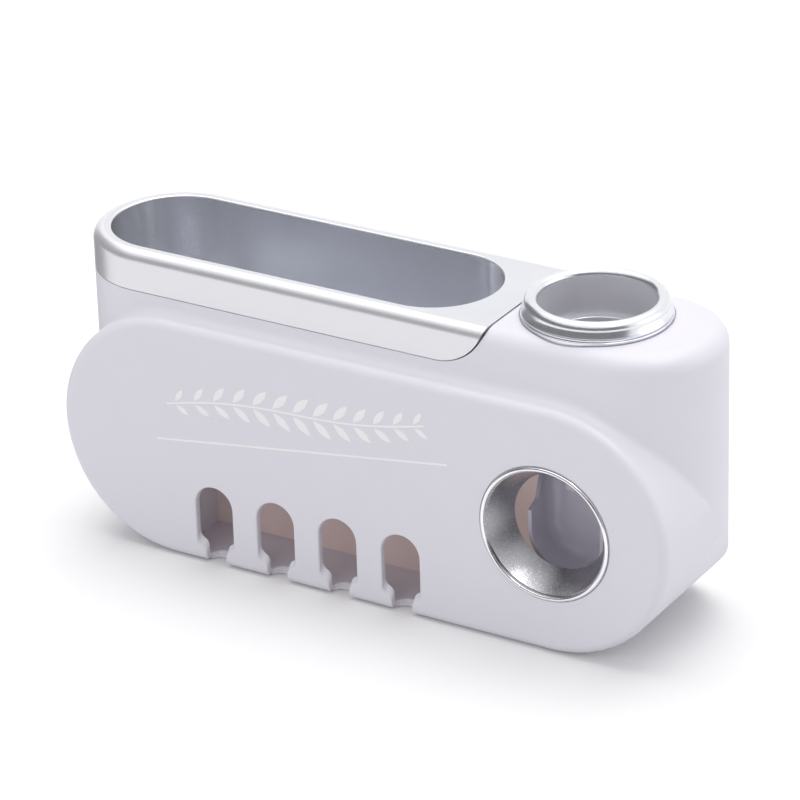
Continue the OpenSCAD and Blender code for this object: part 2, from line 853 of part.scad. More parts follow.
module push_lever() {
    cheek_h = scoop_top_z - scoop_z;
    cut = [for (p = cheek_step_shares) [scoop_front_y + p[0] * scoop_len, scoop_z + p[1] * cheek_h]];
    color(paddle_colour)
        difference() {
            union() {
                difference() {
                    translate([0, scoop_front_y, 0]) scoop_solid(scoop_r, scoop_len);
                    translate([0, scoop_front_y - over, 0])
                        scoop_solid(scoop_r - scoop_wall, scoop_len - scoop_wall + over);
                    translate([disp_x - scoop_r - over, 0, 0])
                        rotate([90, 0, 90])
                            linear_extrude(scoop_w + 2 * over)
                                polygon(concat(
                                    [[scoop_front_y - over, scoop_z + cheek_step_shares[0][1] * cheek_h]],
                                    cut,
                                    [[scoop_front_y - over, cut[len(cut) - 1][1]]]));
                    translate([disp_x - scoop_r + scoop_wall, scoop_front_y - over, scoop_top_z - over])
                        cube([scoop_w - 2 * scoop_wall, scoop_len + over - scoop_wall, 2 * over]);
                }
                translate([disp_x, hinge_y, hinge_z]) bar(scoop_w, hub_r);
                translate([disp_x - scoop_r, scoop_back_y - scoop_wall, hinge_z - hub_r])
                    cube([scoop_w, hinge_y - scoop_back_y + scoop_wall, 2 * hub_r - scoop_wall / 2]);
                translate([disp_x, pump_y, nose_z]) bar(nose_len, nose_r);
                translate([disp_x - nose_len / 2, hinge_y, nose_z - nose_r + run_gap])
                    cube([nose_len, arm_len, arm_t]);
            }
            translate([disp_x, hinge_y, hinge_z]) bar(scoop_w + 2 * over, pin_r + pin_fit);
        }
}

module lever_pin() {
    reach = ear_x + ear_t;
    tail = clip_gap + clip_t + pin_tail;
    color(steel_colour)
        translate([disp_x, hinge_y, hinge_z]) {
            translate([tail / 2, 0, 0]) bar(2 * reach + tail, pin_r);
            translate([-reach - pin_head_t / 2, 0, 0]) bar(pin_head_t, pin_head_r);
        }
}

module pin_clip() {
    gap = pin_r;
    color(steel_colour)
        translate([disp_x + ear_x + ear_t + clip_gap + clip_t / 2, hinge_y, hinge_z])
            difference() {
                bar(clip_t, pin_head_r);
                bar(clip_t + 2 * over, pin_r + screw_fit);
                translate([-clip_t, -gap / 2, -pin_head_r - over]) cube([2 * clip_t, gap, pin_head_r + over]);
            }
}

module wall_plate() {
    lip_y = cover_y - run_gap - hook_t;
    plate_y = -pad_t - plate_t;
    color(shell_colour) {
        translate([0, plate_y, 0]) upright_plate(plate_w, plate_h, plate_t, plate_corner_r);
        for (x = [-hook_x, hook_x])
            translate([x - hook_w / 2, lip_y, hook_z - hook_neck_h / 2]) {
                cube([hook_w, plate_y - lip_y + plate_t / 2, hook_neck_h]);
                cube([hook_w, hook_t, hook_neck_h / 2 + hook_rise]);
            }
    }
}

module adhesive_pad() {
    color(pad_colour)
        translate([0, -pad_t, 0])
            upright_plate(plate_w - 2 * pad_margin, plate_h - 2 * pad_margin, pad_t,
                plate_corner_r - pad_margin);
}

body_shell();
storage_tray();
rear_cover();
cover_screws();
chamber_back();
front_funnel();
tube_collar();
tube_cup();
neck_sleeve();
pump_block();
block_screws();
inlet_valve();
pump_diaphragm();
diaphragm_ring();
ring_screws();
return_spring();
pump_button();
nozzle();
outlet_valve();
push_lever();
lever_pin();
pin_clip();
wall_plate();
adhesive_pad();
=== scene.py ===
import math
from types import SimpleNamespace

import bmesh
import bpy
from bpy.props import FloatProperty, FloatVectorProperty, IntProperty, PointerProperty
from bpy.types import Operator, Panel, PropertyGroup
from mathutils import Matrix, Vector


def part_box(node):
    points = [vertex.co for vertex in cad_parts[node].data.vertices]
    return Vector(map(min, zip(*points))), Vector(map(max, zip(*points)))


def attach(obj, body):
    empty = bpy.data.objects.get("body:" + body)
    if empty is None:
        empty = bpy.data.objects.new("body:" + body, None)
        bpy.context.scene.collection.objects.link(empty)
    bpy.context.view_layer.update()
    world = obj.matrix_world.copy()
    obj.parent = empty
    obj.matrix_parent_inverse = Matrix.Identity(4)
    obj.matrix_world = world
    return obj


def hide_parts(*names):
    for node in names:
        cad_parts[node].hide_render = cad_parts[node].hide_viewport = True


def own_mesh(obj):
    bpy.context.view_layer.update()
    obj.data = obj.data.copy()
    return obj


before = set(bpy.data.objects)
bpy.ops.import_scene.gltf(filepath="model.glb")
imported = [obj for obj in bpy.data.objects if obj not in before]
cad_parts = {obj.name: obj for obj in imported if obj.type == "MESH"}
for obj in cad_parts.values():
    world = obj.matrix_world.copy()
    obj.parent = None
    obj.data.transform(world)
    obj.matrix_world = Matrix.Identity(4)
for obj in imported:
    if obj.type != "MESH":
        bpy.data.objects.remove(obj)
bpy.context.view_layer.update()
SHELL_LOW, SHELL_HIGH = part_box("body_shell")
TRAY_LOW, TRAY_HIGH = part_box("storage_tray")
FUNNEL_LOW, FUNNEL_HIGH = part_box("front_funnel")
COLLAR_LOW, COLLAR_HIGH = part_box("tube_collar")
CHAMBER_LOW, CHAMBER_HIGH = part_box("chamber_back")
LEVER_LOW, LEVER_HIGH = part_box("push_lever")
PIN_LOW, PIN_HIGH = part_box("lever_pin")
PLATE_LOW, PLATE_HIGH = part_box("wall_plate")
PAD_LOW, PAD_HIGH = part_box("adhesive_pad")
COVER_LOW, COVER_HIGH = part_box("rear_cover")
SCREWS_LOW, SCREWS_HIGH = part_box("cover_screws")

bl_info = {
    "name": "Toothbrush holder looks",
    "version": (1, 0, 0),
    "blender": (4, 5, 0),
    "location": "3D View > Sidebar > Holder",
    "description": "Dresses a toothbrush holder with a toothpaste pump in its finishes",
    "category": "Object",
}


def length(name, description, default):
    """A length in metres."""
    return FloatProperty(
        name=name, description=description, default=default, min=0.0,
        precision=5, unit="LENGTH", subtype="DISTANCE",
    )


def turn(name, description, degrees):
    """An angle, given here in degrees."""
    return FloatProperty(
        name=name, description=description, default=math.radians(degrees),
        unit="ROTATION", subtype="ANGLE",
    )


def fraction(name, description, default):
    """A share of a whole."""
    return FloatProperty(
        name=name, description=description, default=default,
        min=0.01, max=1.0, subtype="FACTOR",
    )


def amount(name, description, default):
    """A number that has no unit."""
    return FloatProperty(name=name, description=description, default=default, min=0.0)


def count(name, description, default, least=1, most=1000):
    """A whole number."""
    return IntProperty(name=name, description=description, default=default, min=least, max=most)


def colour(name, description, default):
    """A colour as the shader takes it."""
    return FloatVectorProperty(
        name=name, description=description, default=default,
        size=3, min=0.0, max=1.0, subtype="COLOR",
    )


class ShellSizes(PropertyGroup):
    wall: length("Wall", "Wall of the body shell", 0.0024)
    top_round: length("Top rounding", "Rounding along the body's top edge", 0.007)
    back_round: length("Back rounding", "Rounding where the base meets the back", 0.0015)
    face_proud: length("Face stands proud", "How far the front face stands proud of the body", 0.0082)
    face_height: length("Face height", "Height of the raised front face", 0.0922)
    face_inset: length("Face inset", "How far the face's left end stays inside the body", 0.0025)
    face_round: length("Face rounding", "Rounding along the front face's edge", 0.0035)
    cove: length("Cove", "Radius of the hollow where the face meets the body", 0.0046)
    cove_end: turn("Cove's end", "Angle from the body's right side at which that hollow ends", 4.5)
    rib: length("Rib", "Thickness of the ribs round the brush chamber", 0.002)
    chamber_past: length("Chamber past", "From the last slot to the chamber's right side", 0.016)
    chamber_height: length("Chamber height", "Height of the chamber's ceiling above the base", 0.0435)
    arc_steps: count("Arc steps", "Segments of a half circle", 64, least=16)


class TraySizes(PropertyGroup):
    band: length("Band", "Height of the tray's band on the outside", 0.0146)
    corner: length("Corner", "Radius of the band's lower right corner", 0.02)
    top_round: length("Top rounding", "Rounding along the tray's top edge", 0.004)
    rim: length("Rim", "Width of the rim round the tray's mouth", 0.0065)
    land: length("Land", "Width of the flat land right of the tray's mouth", 0.013)
    wall: length("Wall", "Wall of the tray", 0.0016)
    plate: length("Plate", "Thickness of the tray's top", 0.002)
    mouth_round: length("Mouth rounding", "Rounding along the edge of the mouth", 0.0006)
    floor_round: length("Floor rounding", "Rounding round the tub's floor", 0.003)
    gap_under: length("Gap under", "Gap between the band's lower edge and the body", 0.0003)
    gap_side: length("Gap at the side", "Gap between the tray's right edge and the body", 0.0008)


class SlotSizes(PropertyGroup):
    count: count("Slots", "Number of toothbrush slots", 4, most=4)
    pitch: length("Pitch", "Distance from one slot to the next", 0.0259)
    first: length("First slot", "From the body's left end to the first slot", 0.0665)
    width: length("Width", "Width of a slot for the brush head", 0.0154)
    neck: length("Neck", "Width of the slot's neck", 0.0082)
    height: length("Height", "Height of a slot above the base", 0.0308)
    neck_height: length("Neck height", "Height of the neck above the base", 0.0056)
    shoulder: turn("Shoulder", "Turn of each of the two arcs that make a slot's shoulder", 65.0)
    ramp: length("Ramp", "How much higher the shoulders lie at the back of the wall", 0.003)
    foot_round: length("Foot rounding", "Rounding at the lower end of a slot's neck", 0.0016)
    edge_round: length("Edge rounding", "Rounding along a slot's front edge", 0.0007)
    notch_edge: length("Notch edge", "Thickness of the floor along the edge of its notches", 0.0011)
    notch_slope: length("Notch slope", "Width of the slope down to that edge", 0.0024)
    notch_depth: length("Notch depth", "How far a notch reaches past the front wall", 0.0034)


class DispenserSizes(PropertyGroup):
    lip_width: length("Lip width", "Width of the funnel's bright lip", 0.0014)
    throat: length("Throat", "Radius of the funnel's throat", 0.018)
    throat_depth: length("Throat depth", "Depth of the throat behind the front face", 0.0115)
    funnel_wall: length("Funnel wall", "Wall of the funnel", 0.0014)
    collar_bore: length("Collar bore", "Radius of the tube collar's bore", 0.0204)
    collar_wall: length("Collar wall", "Wall of the tube collar's sleeve", 0.0019)
    rim: length("Rim", "Outer radius of the collar's rolled rim", 0.0252)
    roll: length("Roll", "Rounding of the rim's outer side", 0.0026)
    roll_drop: length("Roll drop", "Height of the rim's rounding on the side of the bore", 0.0022)
    skirt: length("Skirt", "How far the collar's skirt flares out below the rim", 0.0009)
    skirt_bend: amount("Skirt bend", "Power that the skirt's side follows, where 1 is straight", 1.3)
    ridge: length("Ridge", "Radius of the ridge round the skirt's foot", 0.0007)
    ridge_step: length("Ridge step", "How far the flange stands out past the ridge", 0.0003)
    flange: length("Flange", "Thickness of the collar's flange", 0.00105)
    flange_edge: length("Flange edge", "Rounding of the flange's edge", 0.0003)
    ledge: length("Ledge", "Width of the ledge in the collar's sleeve", 0.0024)
    ledge_height: length("Ledge height", "Height of the narrow part below that ledge", 0.0107)
    groove: length("Groove", "Width of the groove between the funnel and its lip", 0.0005)
    seam: length("Seam", "Width of the open seam round each ring", 0.00045)
    seam_depth: length("Seam depth", "Depth of that seam", 0.001)
    seat_gap: length("Seat gap", "Gap between a ring and the hole that it sits in", 0.0001)
    ring_steps: count("Ring steps", "Segments of a ring", 160, least=24)


class LeverSizes(PropertyGroup):
    wall: length("Wall", "Wall of the scoop", 0.0014)
    length: length("Length", "Depth of the scoop", 0.015)
    height: length("Height", "Height of the cheeks above the scoop's round bottom", 0.015)
    dish: length("Dish", "Rounding between the scoop's sides and its back wall", 0.0045)
    back_round: length("Back rounding", "Rounding along the scoop's back", 0.003)
    drop: length("Drop", "How much lower than the fixed model's the scoop's round bottom lies", 0.003)
    step_round: length("Step rounding", "Rounding of the steps in the cheeks", 0.0012)
    edge: length("Edge", "Rounding of the lever's edges", 0.0004)
    hub: length("Hub", "Radius of the hub", 0.0032)
    nose: length("Nose", "Radius of the nose that lifts the button", 0.002)
    nose_length: length("Nose length", "Length of the nose", 0.01)
    arm: length("Arm", "Thickness of the arm", 0.003)
    pin_fit: length("Pin fit", "Gap round the pin", 0.00006)


class PumpSizes(PropertyGroup):
    dome_keep_share: fraction("Dome's share", "Share of the dome's height at the full stroke", 0.145)
    spring_keep_share: fraction("Spring's share", "Share of the spring's length at the full stroke", 0.66)


class OrnamentSizes(PropertyGroup):
    inset: length("Inset", "From the body's left end to the line", 0.0435)
    rise: length("Rise", "Height of the line's left end above the base", 0.0457)
    span: length("Span", "Length of the line", 0.122)
    tilt: turn("Tilt", "Slope of the line", 8.15)
    width: length("Width", "Width of the line and the stem", 0.0007)
    relief: length("Relief", "How far the ornament stands out of the face", 0.00012)
    stem_rise: length("Stem rise", "Distance from the line to the sprig's stem", 0.014)
    stem_inset: length("Stem inset", "Distance from the line's ends to the stem's ends", 0.007)
    stem_steps: count("Stem steps", "Segments of the stem", 48)
    sway: length("Sway", "How far the stem sways", 0.0018)
    leaf: length("Leaf", "Length of the longest leaf", 0.0095)
    leaf_width: length("Leaf width", "Width of the longest leaf", 0.0032)
    end_leaf_share: fraction("End leaf's share", "Least size of a leaf as a share of the longest", 0.6)
    leaf_turn: turn("Leaf turn", "Angle between a leaf and the stem", 42.0)
    leaf_gap: length("Leaf gap", "Gap between a leaf and the stem", 0.0004)
    leaf_pairs: count("Leaf pairs", "Pairs of leaves", 13)


class BackSizes(PropertyGroup):
    cover_gap: length("Cover gap", "Gap round the rear cover", 0.0002)
    cover_wall: length("Cover wall", "Thickness of the rear cover", 0.002)
    cover_corner: length("Cover corner", "Corner radius of the rear cover", 0.008)
    post: length("Post", "Radius of a screw post", 0.0032)
    post_length: length("Post length", "Length of a screw post", 0.01)
    post_inset: length("Post inset", "Distance from the cover's edge to a screw", 0.006)
    screw: length("Screw", "Radius of a cover screw", 0.00125)
    screw_head: length("Screw head", "Radius of a cover screw's head", 0.0023)
    screw_crown: length("Screw crown", "Rounding of a screw's head", 0.0009)
    screw_steps: count("Screw steps", "Segments of a screw", 40, least=8)
    recess: length("Recess", "Width of the cross recess in a screw's head", 0.0008)
    edge: length("Edge", "Rounding along the edges of the flat pieces at the back", 0.0005)
    tab: length("Tab", "Width of the tabs on top of the cover", 0.014)
    tab_wall: length("Tab wall", "Thickness of those tabs", 0.0012)
    tab_rise: length("Tab rise", "How far the tabs reach above the cover", 0.004)
    tab_shift: length("Tab shift", "Distance from the cover's back to the front of the tabs", 0.0039)
    plate: length("Plate", "Thickness of the wall plate", 0.0024)
    plate_corner: length("Plate corner", "Corner radius of the wall plate", 0.008)
    pad_corner: length("Pad corner", "Corner radius of the adhesive pad", 0.005)
    hook_shift: length("Hook shift", "Distance from the middle to each hook", 0.032)
    hook: length("Hook", "Width of a hook", 0.01)
    hook_wall: length("Hook wall", "Thickness of a hook's lip", 0.0018)
    hook_neck: length("Hook neck", "Height of a hook's neck", 0.003)
    hook_rise: length("Hook rise", "How far a hook's lip reaches above its neck's middle", 0.007)
    hook_low: length("Hook height", "Height of the lower side of the hooks' necks", 0.0165)
    window_gap: length("Window gap", "Gap at each side of a hook in its window", 0.001)
    window_low: length("Window foot", "Height of the windows' lower edges", 0.008)
    window_high: length("Window top", "Height of the windows' upper edges", 0.0198)


class FinishColours(PropertyGroup):
    shell: colour("Shell", "Satin moulded plastic of the body", (0.80, 0.785, 0.85))
    shell_tone: colour("Shell tone", "Slightly deeper tone in the shell's grain", (0.77, 0.755, 0.825))
    silver: colour("Silver", "Satin silver of the tray", (0.80, 0.80, 0.835))
    silver_tone: colour("Silver tone", "Deeper tone in the tray's silver", (0.76, 0.76, 0.795))
    plating: colour("Plating", "Plating of the collar", (0.84, 0.85, 0.89))
    plating_tone: colour("Plating tone", "Deeper tone in the plating", (0.76, 0.77, 0.81))
    # Painted shade: the tub's plating is a darker copy of the collar's plating
    tub: colour("Tub", "Plating inside the tray's tub", (0.83, 0.84, 0.88))
    tub_tone: colour("Tub tone", "Deeper tone in that plating", (0.72, 0.73, 0.77))
    grained: colour("Grained plating", "Grained plating inside the funnel", (0.78, 0.78, 0.80))
    grained_tone: colour("Grained tone", "Deeper tone in the grained plating", (0.56, 0.56, 0.58))
    print: colour("White", "White line and sprig on the face", (0.95, 0.95, 0.96))
    print_tone: colour("White tone", "Deeper tone in that white", (0.92, 0.92, 0.94))
    chrome: colour("Bright lip", "Bright plating of the funnel's lip", (0.93, 0.93, 0.94))
    beige: colour("Beige", "Inner parts moulded in a pale skin tone", (0.78, 0.63, 0.60))
    beige_tone: colour("Beige tone", "Deeper tone of those parts", (0.74, 0.59, 0.56))
    paddle: colour("Paddle", "Glossy plastic of the lever", (0.55, 0.52, 0.60))
    paddle_tone: colour("Paddle tone", "Deeper tone of the lever", (0.50, 0.47, 0.56))
    silicone: colour("Silicone", "Soft milky parts of the pump", (0.80, 0.80, 0.78))
    silicone_tone: colour("Silicone tone", "Deeper tone of the soft parts", (0.70, 0.70, 0.69))
    steel: colour("Steel", "Screws, pin and spring", (0.52, 0.52, 0.54))
    steel_tone: colour("Steel tone", "Deeper tone of the steel", (0.42, 0.42, 0.44))
    pad: colour("Pad", "Adhesive pad on the wall plate", (0.72, 0.75, 0.78))
    pad_tone: colour("Pad tone", "Deeper tone of the pad", (0.62, 0.66, 0.70))


class StageSizes(PropertyGroup):
    azimuth: turn("Azimuth", "How far the camera stands to the right of the front", 31.747)
    elevation: turn("Elevation", "How far the camera looks down", 25.618)
    roll: turn("Roll", "Turn of the picture", -1.681)
    distance: length("Distance", "Distance from the camera to the point that it aims at", 1.499)
    aim: FloatVectorProperty(
        name="Aim", description="Point in the middle of the picture",
        default=(0.0264, -0.0811, 0.0319), size=3, unit="LENGTH", subtype="XYZ",
    )
    lens: FloatProperty(name="Lens", description="Focal length", default=198.05, unit="CAMERA")
    floor: colour("Floor", "Pale floor", (0.96, 0.96, 0.965))
    floor_bounce: colour("Floor bounce", "What the floor throws back onto matt surfaces", (0.70, 0.70, 0.71))
    floor_radius: length("Floor radius", "Radius of the round floor", 12.0)
    floor_gap: length("Floor gap", "How far the floor lies below the body", 0.0002)
    ambient: amount("Ambient", "Strength of the even light", 0.56)
    key: amount("Key light", "Strength of the soft light above", 1.72)
    back_right: amount("Back light", "Strength of the soft light from the back right", 0.5)
    side: amount("Side light", "Strength of the mirrored light from the right", 0.9)
    front: amount("Front light", "Strength of the soft light from the front", 0.6)
    cloth: colour("Dark cloth", "Cloth that glossy pieces mirror", (0.09, 0.09, 0.095))
    cloth_distance: length("Cloth distance", "Distance from the part to the cloth behind the camera", 1.9)
    cloth_height: length("Cloth height", "Height of the cloth behind the camera", 1.6)
    cloth_left: turn("Cloth's left end", "How far left of the front the cloth starts", 118.0)
    cloth_turn: turn("Cloth's turn", "How far left of the front the cloth leaves the floor", 80.0)
    cloth_right: turn("Cloth's right end", "How far right of the front the cloth ends", 78.0)
    cloth_near: length("Cloth's near edge", "Radius of the near edge of the cloth on the floor", 0.12)


class HolderSettings(PropertyGroup):
    shell: PointerProperty(type=ShellSizes)
    tray: PointerProperty(type=TraySizes)
    slots: PointerProperty(type=SlotSizes)
    dispenser: PointerProperty(type=DispenserSizes)
    lever: PointerProperty(type=LeverSizes)
    pump: PointerProperty(type=PumpSizes)
    ornament: PointerProperty(type=OrnamentSizes)
    back: PointerProperty(type=BackSizes)
    colours: PointerProperty(type=FinishColours)
    stage: PointerProperty(type=StageSizes)


# How far a cutter runs past what it cuts
OVER = 0.001

# How far outlines that are open at the top run up past the body
SKY = 5 * OVER

# Distance under which two points are one
WELD = 0.000002

# Steps of the ball that rolls out the cove: round the left end, along the front, round the right end
COVE_STEPS = (40, 30, 57)

# Steps in the scoop's cheeks, as shares of its depth and height
CHEEK_STEP_SHARES = [(0.0, 0.27), (0.33, 0.42), (0.53, 0.93)]


def places(settings):
    """Planes, centres and radii that several pieces share."""
    shell, tray, slots = settings.shell, settings.tray, settings.slots
    at = SimpleNamespace()
    at.top, at.base = SHELL_HIGH.z, SHELL_LOW.z
    at.face, at.back = SHELL_LOW.y, SHELL_HIGH.y
    at.end = SHELL_HIGH.x
    at.front = at.face + shell.face_proud
    at.middle = (at.front + at.back) / 2
    at.end_radius = (at.back - at.front) / 2
    at.face_radius = shell.face_height / 2
    at.face_centre = Vector((shell.face_inset / 2, at.base + at.face_radius))
    at.face_end = at.end - shell.face_inset / 2
    at.band_low = at.top - tray.band
    at.tray_right = TRAY_HIGH.x
    at.corner = Vector((at.tray_right - tray.corner, at.band_low + tray.corner))
    at.mouth_radius = at.end_radius - tray.rim
    at.mouth_left = -at.end + tray.rim
    at.mouth_right = at.tray_right - tray.land
    at.tub_floor = TRAY_LOW.z + tray.wall
    at.funnel = (FUNNEL_LOW + FUNNEL_HIGH) / 2
    at.funnel.y = at.face
    at.lip_radius = (FUNNEL_HIGH.x - FUNNEL_LOW.x) / 2
    at.lip_proud = at.face - FUNNEL_LOW.y
    at.flange_radius = (COLLAR_HIGH.x - COLLAR_LOW.x) / 2
    at.slot_xs = [-at.end + slots.first + i * slots.pitch for i in range(slots.count)]
    at.cover_middle = (COVER_LOW.z + COVER_HIGH.z - settings.back.tab_rise) / 2
    at.cover_front = at.back - settings.back.cover_wall
    return at


# Outlines


def arc(centre, radius, start, end, steps, squeeze=1.0):
    """Points along an arc, from and to an angle in degrees; squeeze scales its second axis."""
    points = []
    for i in range(steps + 1):
        angle = math.radians(start + (end - start) * i / steps)
        points.append((centre[0] + radius * math.cos(angle), centre[1] + radius * squeeze * math.sin(angle)))
    return points


def stadium(half, radius, steps, centre=(0.0, 0.0)):
    """A long outline with round ends."""
    shift = half - radius
    right = arc((centre[0] + shift, centre[1]), radius, -90, 90, steps)
    left = arc((centre[0] - shift, centre[1]), radius, 90, 270, steps)
    return right + left


def rounded_rectangle(half_width, half_height, radius, steps, centre=(0.0, 0.0)):
    """A rectangle with round corners."""
    points = []
    for turns, (side, rise) in enumerate(((1, 1), (-1, 1), (-1, -1), (1, -1))):
        corner = (
            centre[0] + side * (half_width - radius),
            centre[1] + rise * (half_height - radius),
        )
        points += arc(corner, radius, 90 * turns, 90 * (turns + 1), steps)
    return points


def circle(radius, steps, centre=(0.0, 0.0)):
    """A circle with twice the steps of a half circle."""
    return arc(centre, radius, 0, 360, 2 * steps)[:-1]


def rounded_path(points, radius, steps=6):
    """An open path whose inner corners are rounded, each by a curve that starts radius before it."""
    path = [points[0]]
    for before, corner, after in zip(points, points[1:], points[2:]):
        corner = Vector(corner)
        start = corner + radius * (Vector(before) - corner).normalized()
        end = corner + radius * (Vector(after) - corner).normalized()
        for i in range(steps + 1):
            share = i / steps
            path.append(tuple(start.lerp(corner, share).lerp(corner.lerp(end, share), share)))
    return path + [points[-1]]


def lay_flat(outline, z):
    """An outline laid level at height z."""
    return [Vector((p[0], p[1], z)) for p in outline]


def stand(outline, y):
    """An outline stood upright at depth y."""
    return [Vector((p[0], y, p[1])) for p in outline]


def stand_across(outline, x):
    """An outline of depths and heights stood upright at place x."""
    return [Vector((x, p[0], p[1])) for p in outline]


def rounded_levels(start, end, radius, steps=10):
    """Pairs of a step aside and a place, from start to end, where the step rounds the edge at the end."""
    sign = 1 if end > start else -1
    levels = [(0.0, start)]
    for i in range(steps + 1):
        angle = math.radians(90 * i / steps)
        levels.append((radius * (1 - math.cos(angle)), end - sign * radius * (1 - math.sin(angle))))
    return levels


def tool_levels(start, end, radius, steps=8):
    """The same for a tool, which runs on past the end."""
    past = OVER if end > start else -OVER
    return rounded_levels(start, end, radius, steps) + [(radius, end + past)]


# Meshes


def to_piece(name, bm):
    """A new object in the scene from a bmesh, which is freed."""
    mesh = bpy.data.meshes.new(name)
    bm.to_mesh(mesh)
    bm.free()
    piece = bpy.data.objects.new(name, mesh)
    bpy.context.scene.collection.objects.link(piece)
    return piece


def join_up(bm, points, closed=True):
    """New edges from point to point, and back to the first one if closed."""
    verts = [bm.verts.new(point) for point in points]
    first = 0 if closed else 1
    return [bm.edges.new((verts[i - 1], verts[i])) for i in range(first, len(verts))]


def loft(name, *stacks):
    """One piece of closed solids, each through a stack of closed loops with equal numbers of points."""
    bm = bmesh.new()
    for loops in stacks:
        rings = [join_up(bm, loop) for loop in loops]
        for lower, upper in zip(rings, rings[1:]):
            bmesh.ops.bridge_loops(bm, edges=lower + upper)
        bmesh.ops.contextual_create(bm, geom=rings[0])
        bmesh.ops.contextual_create(bm, geom=rings[-1])
    bmesh.ops.recalc_face_normals(bm, faces=bm.faces)
    return to_piece(name, bm)


def prism(name, lay, outline, start, end):
    """A straight solid between two places; lay is how its outline lies, such as stand."""
    return loft(name, [lay(outline, start), lay(outline, end)])


def bar(name, centre, radius, start, end, steps=24):
    """A round bar along X at a depth and a height."""
    return prism(name, stand_across, circle(radius, steps, centre), start, end)


def rod(name, centre, radius, start, end, steps=24):
    """A round bar along Y, as a tool for bores and posts."""
    return prism(name, stand, circle(radius, steps, centre), start, end)


def block(name, low, high):
    """A plain box between two corners, as a tool for cuts and ribs."""
    bm = bmesh.new()
    bmesh.ops.create_cube(bm, size=1.0)
    bmesh.ops.scale(bm, vec=Vector(high) - Vector(low), verts=bm.verts)
    bmesh.ops.translate(bm, vec=(Vector(low) + Vector(high)) / 2, verts=bm.verts)
    return to_piece(name, bm)


def slab(name, low, high, corner, edge, steps=10):
    """An upright plate with round corners and a rounded rear edge."""
    half = (high - low) / 2
    centre = ((low.x + high.x) / 2, (low.z + high.z) / 2)
    return loft(name, [
        stand(rounded_rectangle(half.x - more, half.z - more, corner - more, steps, centre), y)
        for more, y in rounded_levels(low.y, high.y, edge, steps=6)
    ])


def turned(name, profile, centre, axis, steps):
    """A ring turned from a closed profile of radius and height about an axis through centre."""
    bm = bmesh.new()
    axis, out, centre = Vector(axis), Vector((1, 0, 0)), Vector(centre)
    edges = join_up(bm, [centre + out * radius + axis * height for radius, height in profile])
    bmesh.ops.spin(
        bm, geom=list(bm.verts) + edges, cent=centre, axis=axis, dvec=(0, 0, 0),
        angle=math.radians(360), steps=steps, use_merge=True, use_duplicate=False,
    )
    bmesh.ops.remove_doubles(bm, verts=bm.verts, dist=WELD)
    bmesh.ops.recalc_face_normals(bm, faces=bm.faces)
    return to_piece(name, bm)


def apply_modifiers(piece):
    """Turns what the modifiers make into the piece's own mesh."""
    bpy.context.view_layer.update()
    graph = bpy.context.evaluated_depsgraph_get()
    made = bpy.data.meshes.new_from_object(piece.evaluated_get(graph), depsgraph=graph)
    piece.modifiers.clear()
    rough = piece.data
    piece.data = made
    made.name = rough.name
    bpy.data.meshes.remove(rough)


def combine(piece, tool, operation):
    """Unites a tool with a piece, takes it away or keeps what both hold, and removes the tool."""
    step = piece.modifiers.new(operation.lower(), "BOOLEAN")
    step.operation = operation
    step.solver = "MANIFOLD"
    step.object = tool
    apply_modifiers(piece)
    if not piece.data.polygons:
        raise RuntimeError(f"{piece.name} came out empty from {tool.name}")
    bpy.data.objects.remove(tool)


def add(piece, *tools):
    """Unites tools with a piece."""
    for tool in tools:
        combine(piece, tool, "UNION")


def cut(piece, *tools):
    """Takes tools away from a piece."""
    for tool in tools:
        combine(piece, tool, "DIFFERENCE")


def soften(piece, width, segments=3, least_angle=40):
    """Rounds the edges of a piece that turn by more than an angle in degrees."""
    step = piece.modifiers.new("soft_edges", "BEVEL")
    step.width = width
    step.segments = segments
    step.profile = 0.5
    step.limit_method = "ANGLE"
    step.angle_limit = math.radians(least_angle)
    apply_modifiers(piece)


def smooth(piece, angle=30, weight=80):
    """Smooth shading with sharp edges past an angle, and normals that follow the large faces."""
    bm = bmesh.new()
    bm.from_mesh(piece.data)
    bmesh.ops.remove_doubles(bm, verts=bm.verts, dist=WELD)
    bmesh.ops.dissolve_degenerate(bm, edges=bm.edges, dist=WELD)
    bm.to_mesh(piece.data)
    bm.free()
    piece.data.shade_smooth()
    piece.data.set_sharp_from_angle(angle=math.radians(angle))
    step = piece.modifiers.new("even_normals", "WEIGHTED_NORMAL")
    step.keep_sharp = True
    step.weight = weight
    apply_modifiers(piece)


def settle(piece, body, slot, material, *nodes):
    """Gives a finished piece its finish, its body and the nodes that it stands for."""
    smooth(piece)
    piece.data.materials.clear()
    piece.data.materials.append(material)
    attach(piece, body)
    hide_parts(*nodes)


def refinish(piece, material, chosen):
    """Gives a second finish to the faces that are chosen by their centres."""
    piece.data.materials.append(material)
    for face in piece.data.polygons:
        if chosen(face.center):
            face.material_index = 1


# Finishes


def link(tree, source, out_name, target, in_name):
    """Joins an output of one node to an input of another."""
    tree.links.new(source.outputs[out_name], target.inputs[in_name])


def new_material(name):
    """A material with nodes, and its shader."""
    material = bpy.data.materials.new(name)
    material.use_nodes = True
    return material, material.node_tree.nodes["Principled BSDF"]


def mixed_tone(tree, mask, deep_tone, tone):
    """A socket with the deep tone where the mask is 0 and the tone where it is 1."""
    shade = tree.nodes.new("ShaderNodeMix")
    shade.data_type = "RGBA"
    tones = [socket for socket in shade.inputs if socket.type == "RGBA"]
    tones[0].default_value = (*deep_tone, 1.0)
    tones[1].default_value = (*tone, 1.0)
    tree.links.new(mask, shade.inputs[0])
    return next(socket for socket in shade.outputs if socket.type == "RGBA")


def add_noise(group, start, size, detail):
    """A noise node in the group, as fine as one of the group's inputs says."""
    noise = group.nodes.new("ShaderNodeTexNoise")
    noise.inputs["Detail"].default_value = detail
    link(group, start, "Vector", noise, "Vector")
    link(group, start, size, noise, "Scale")
    return noise


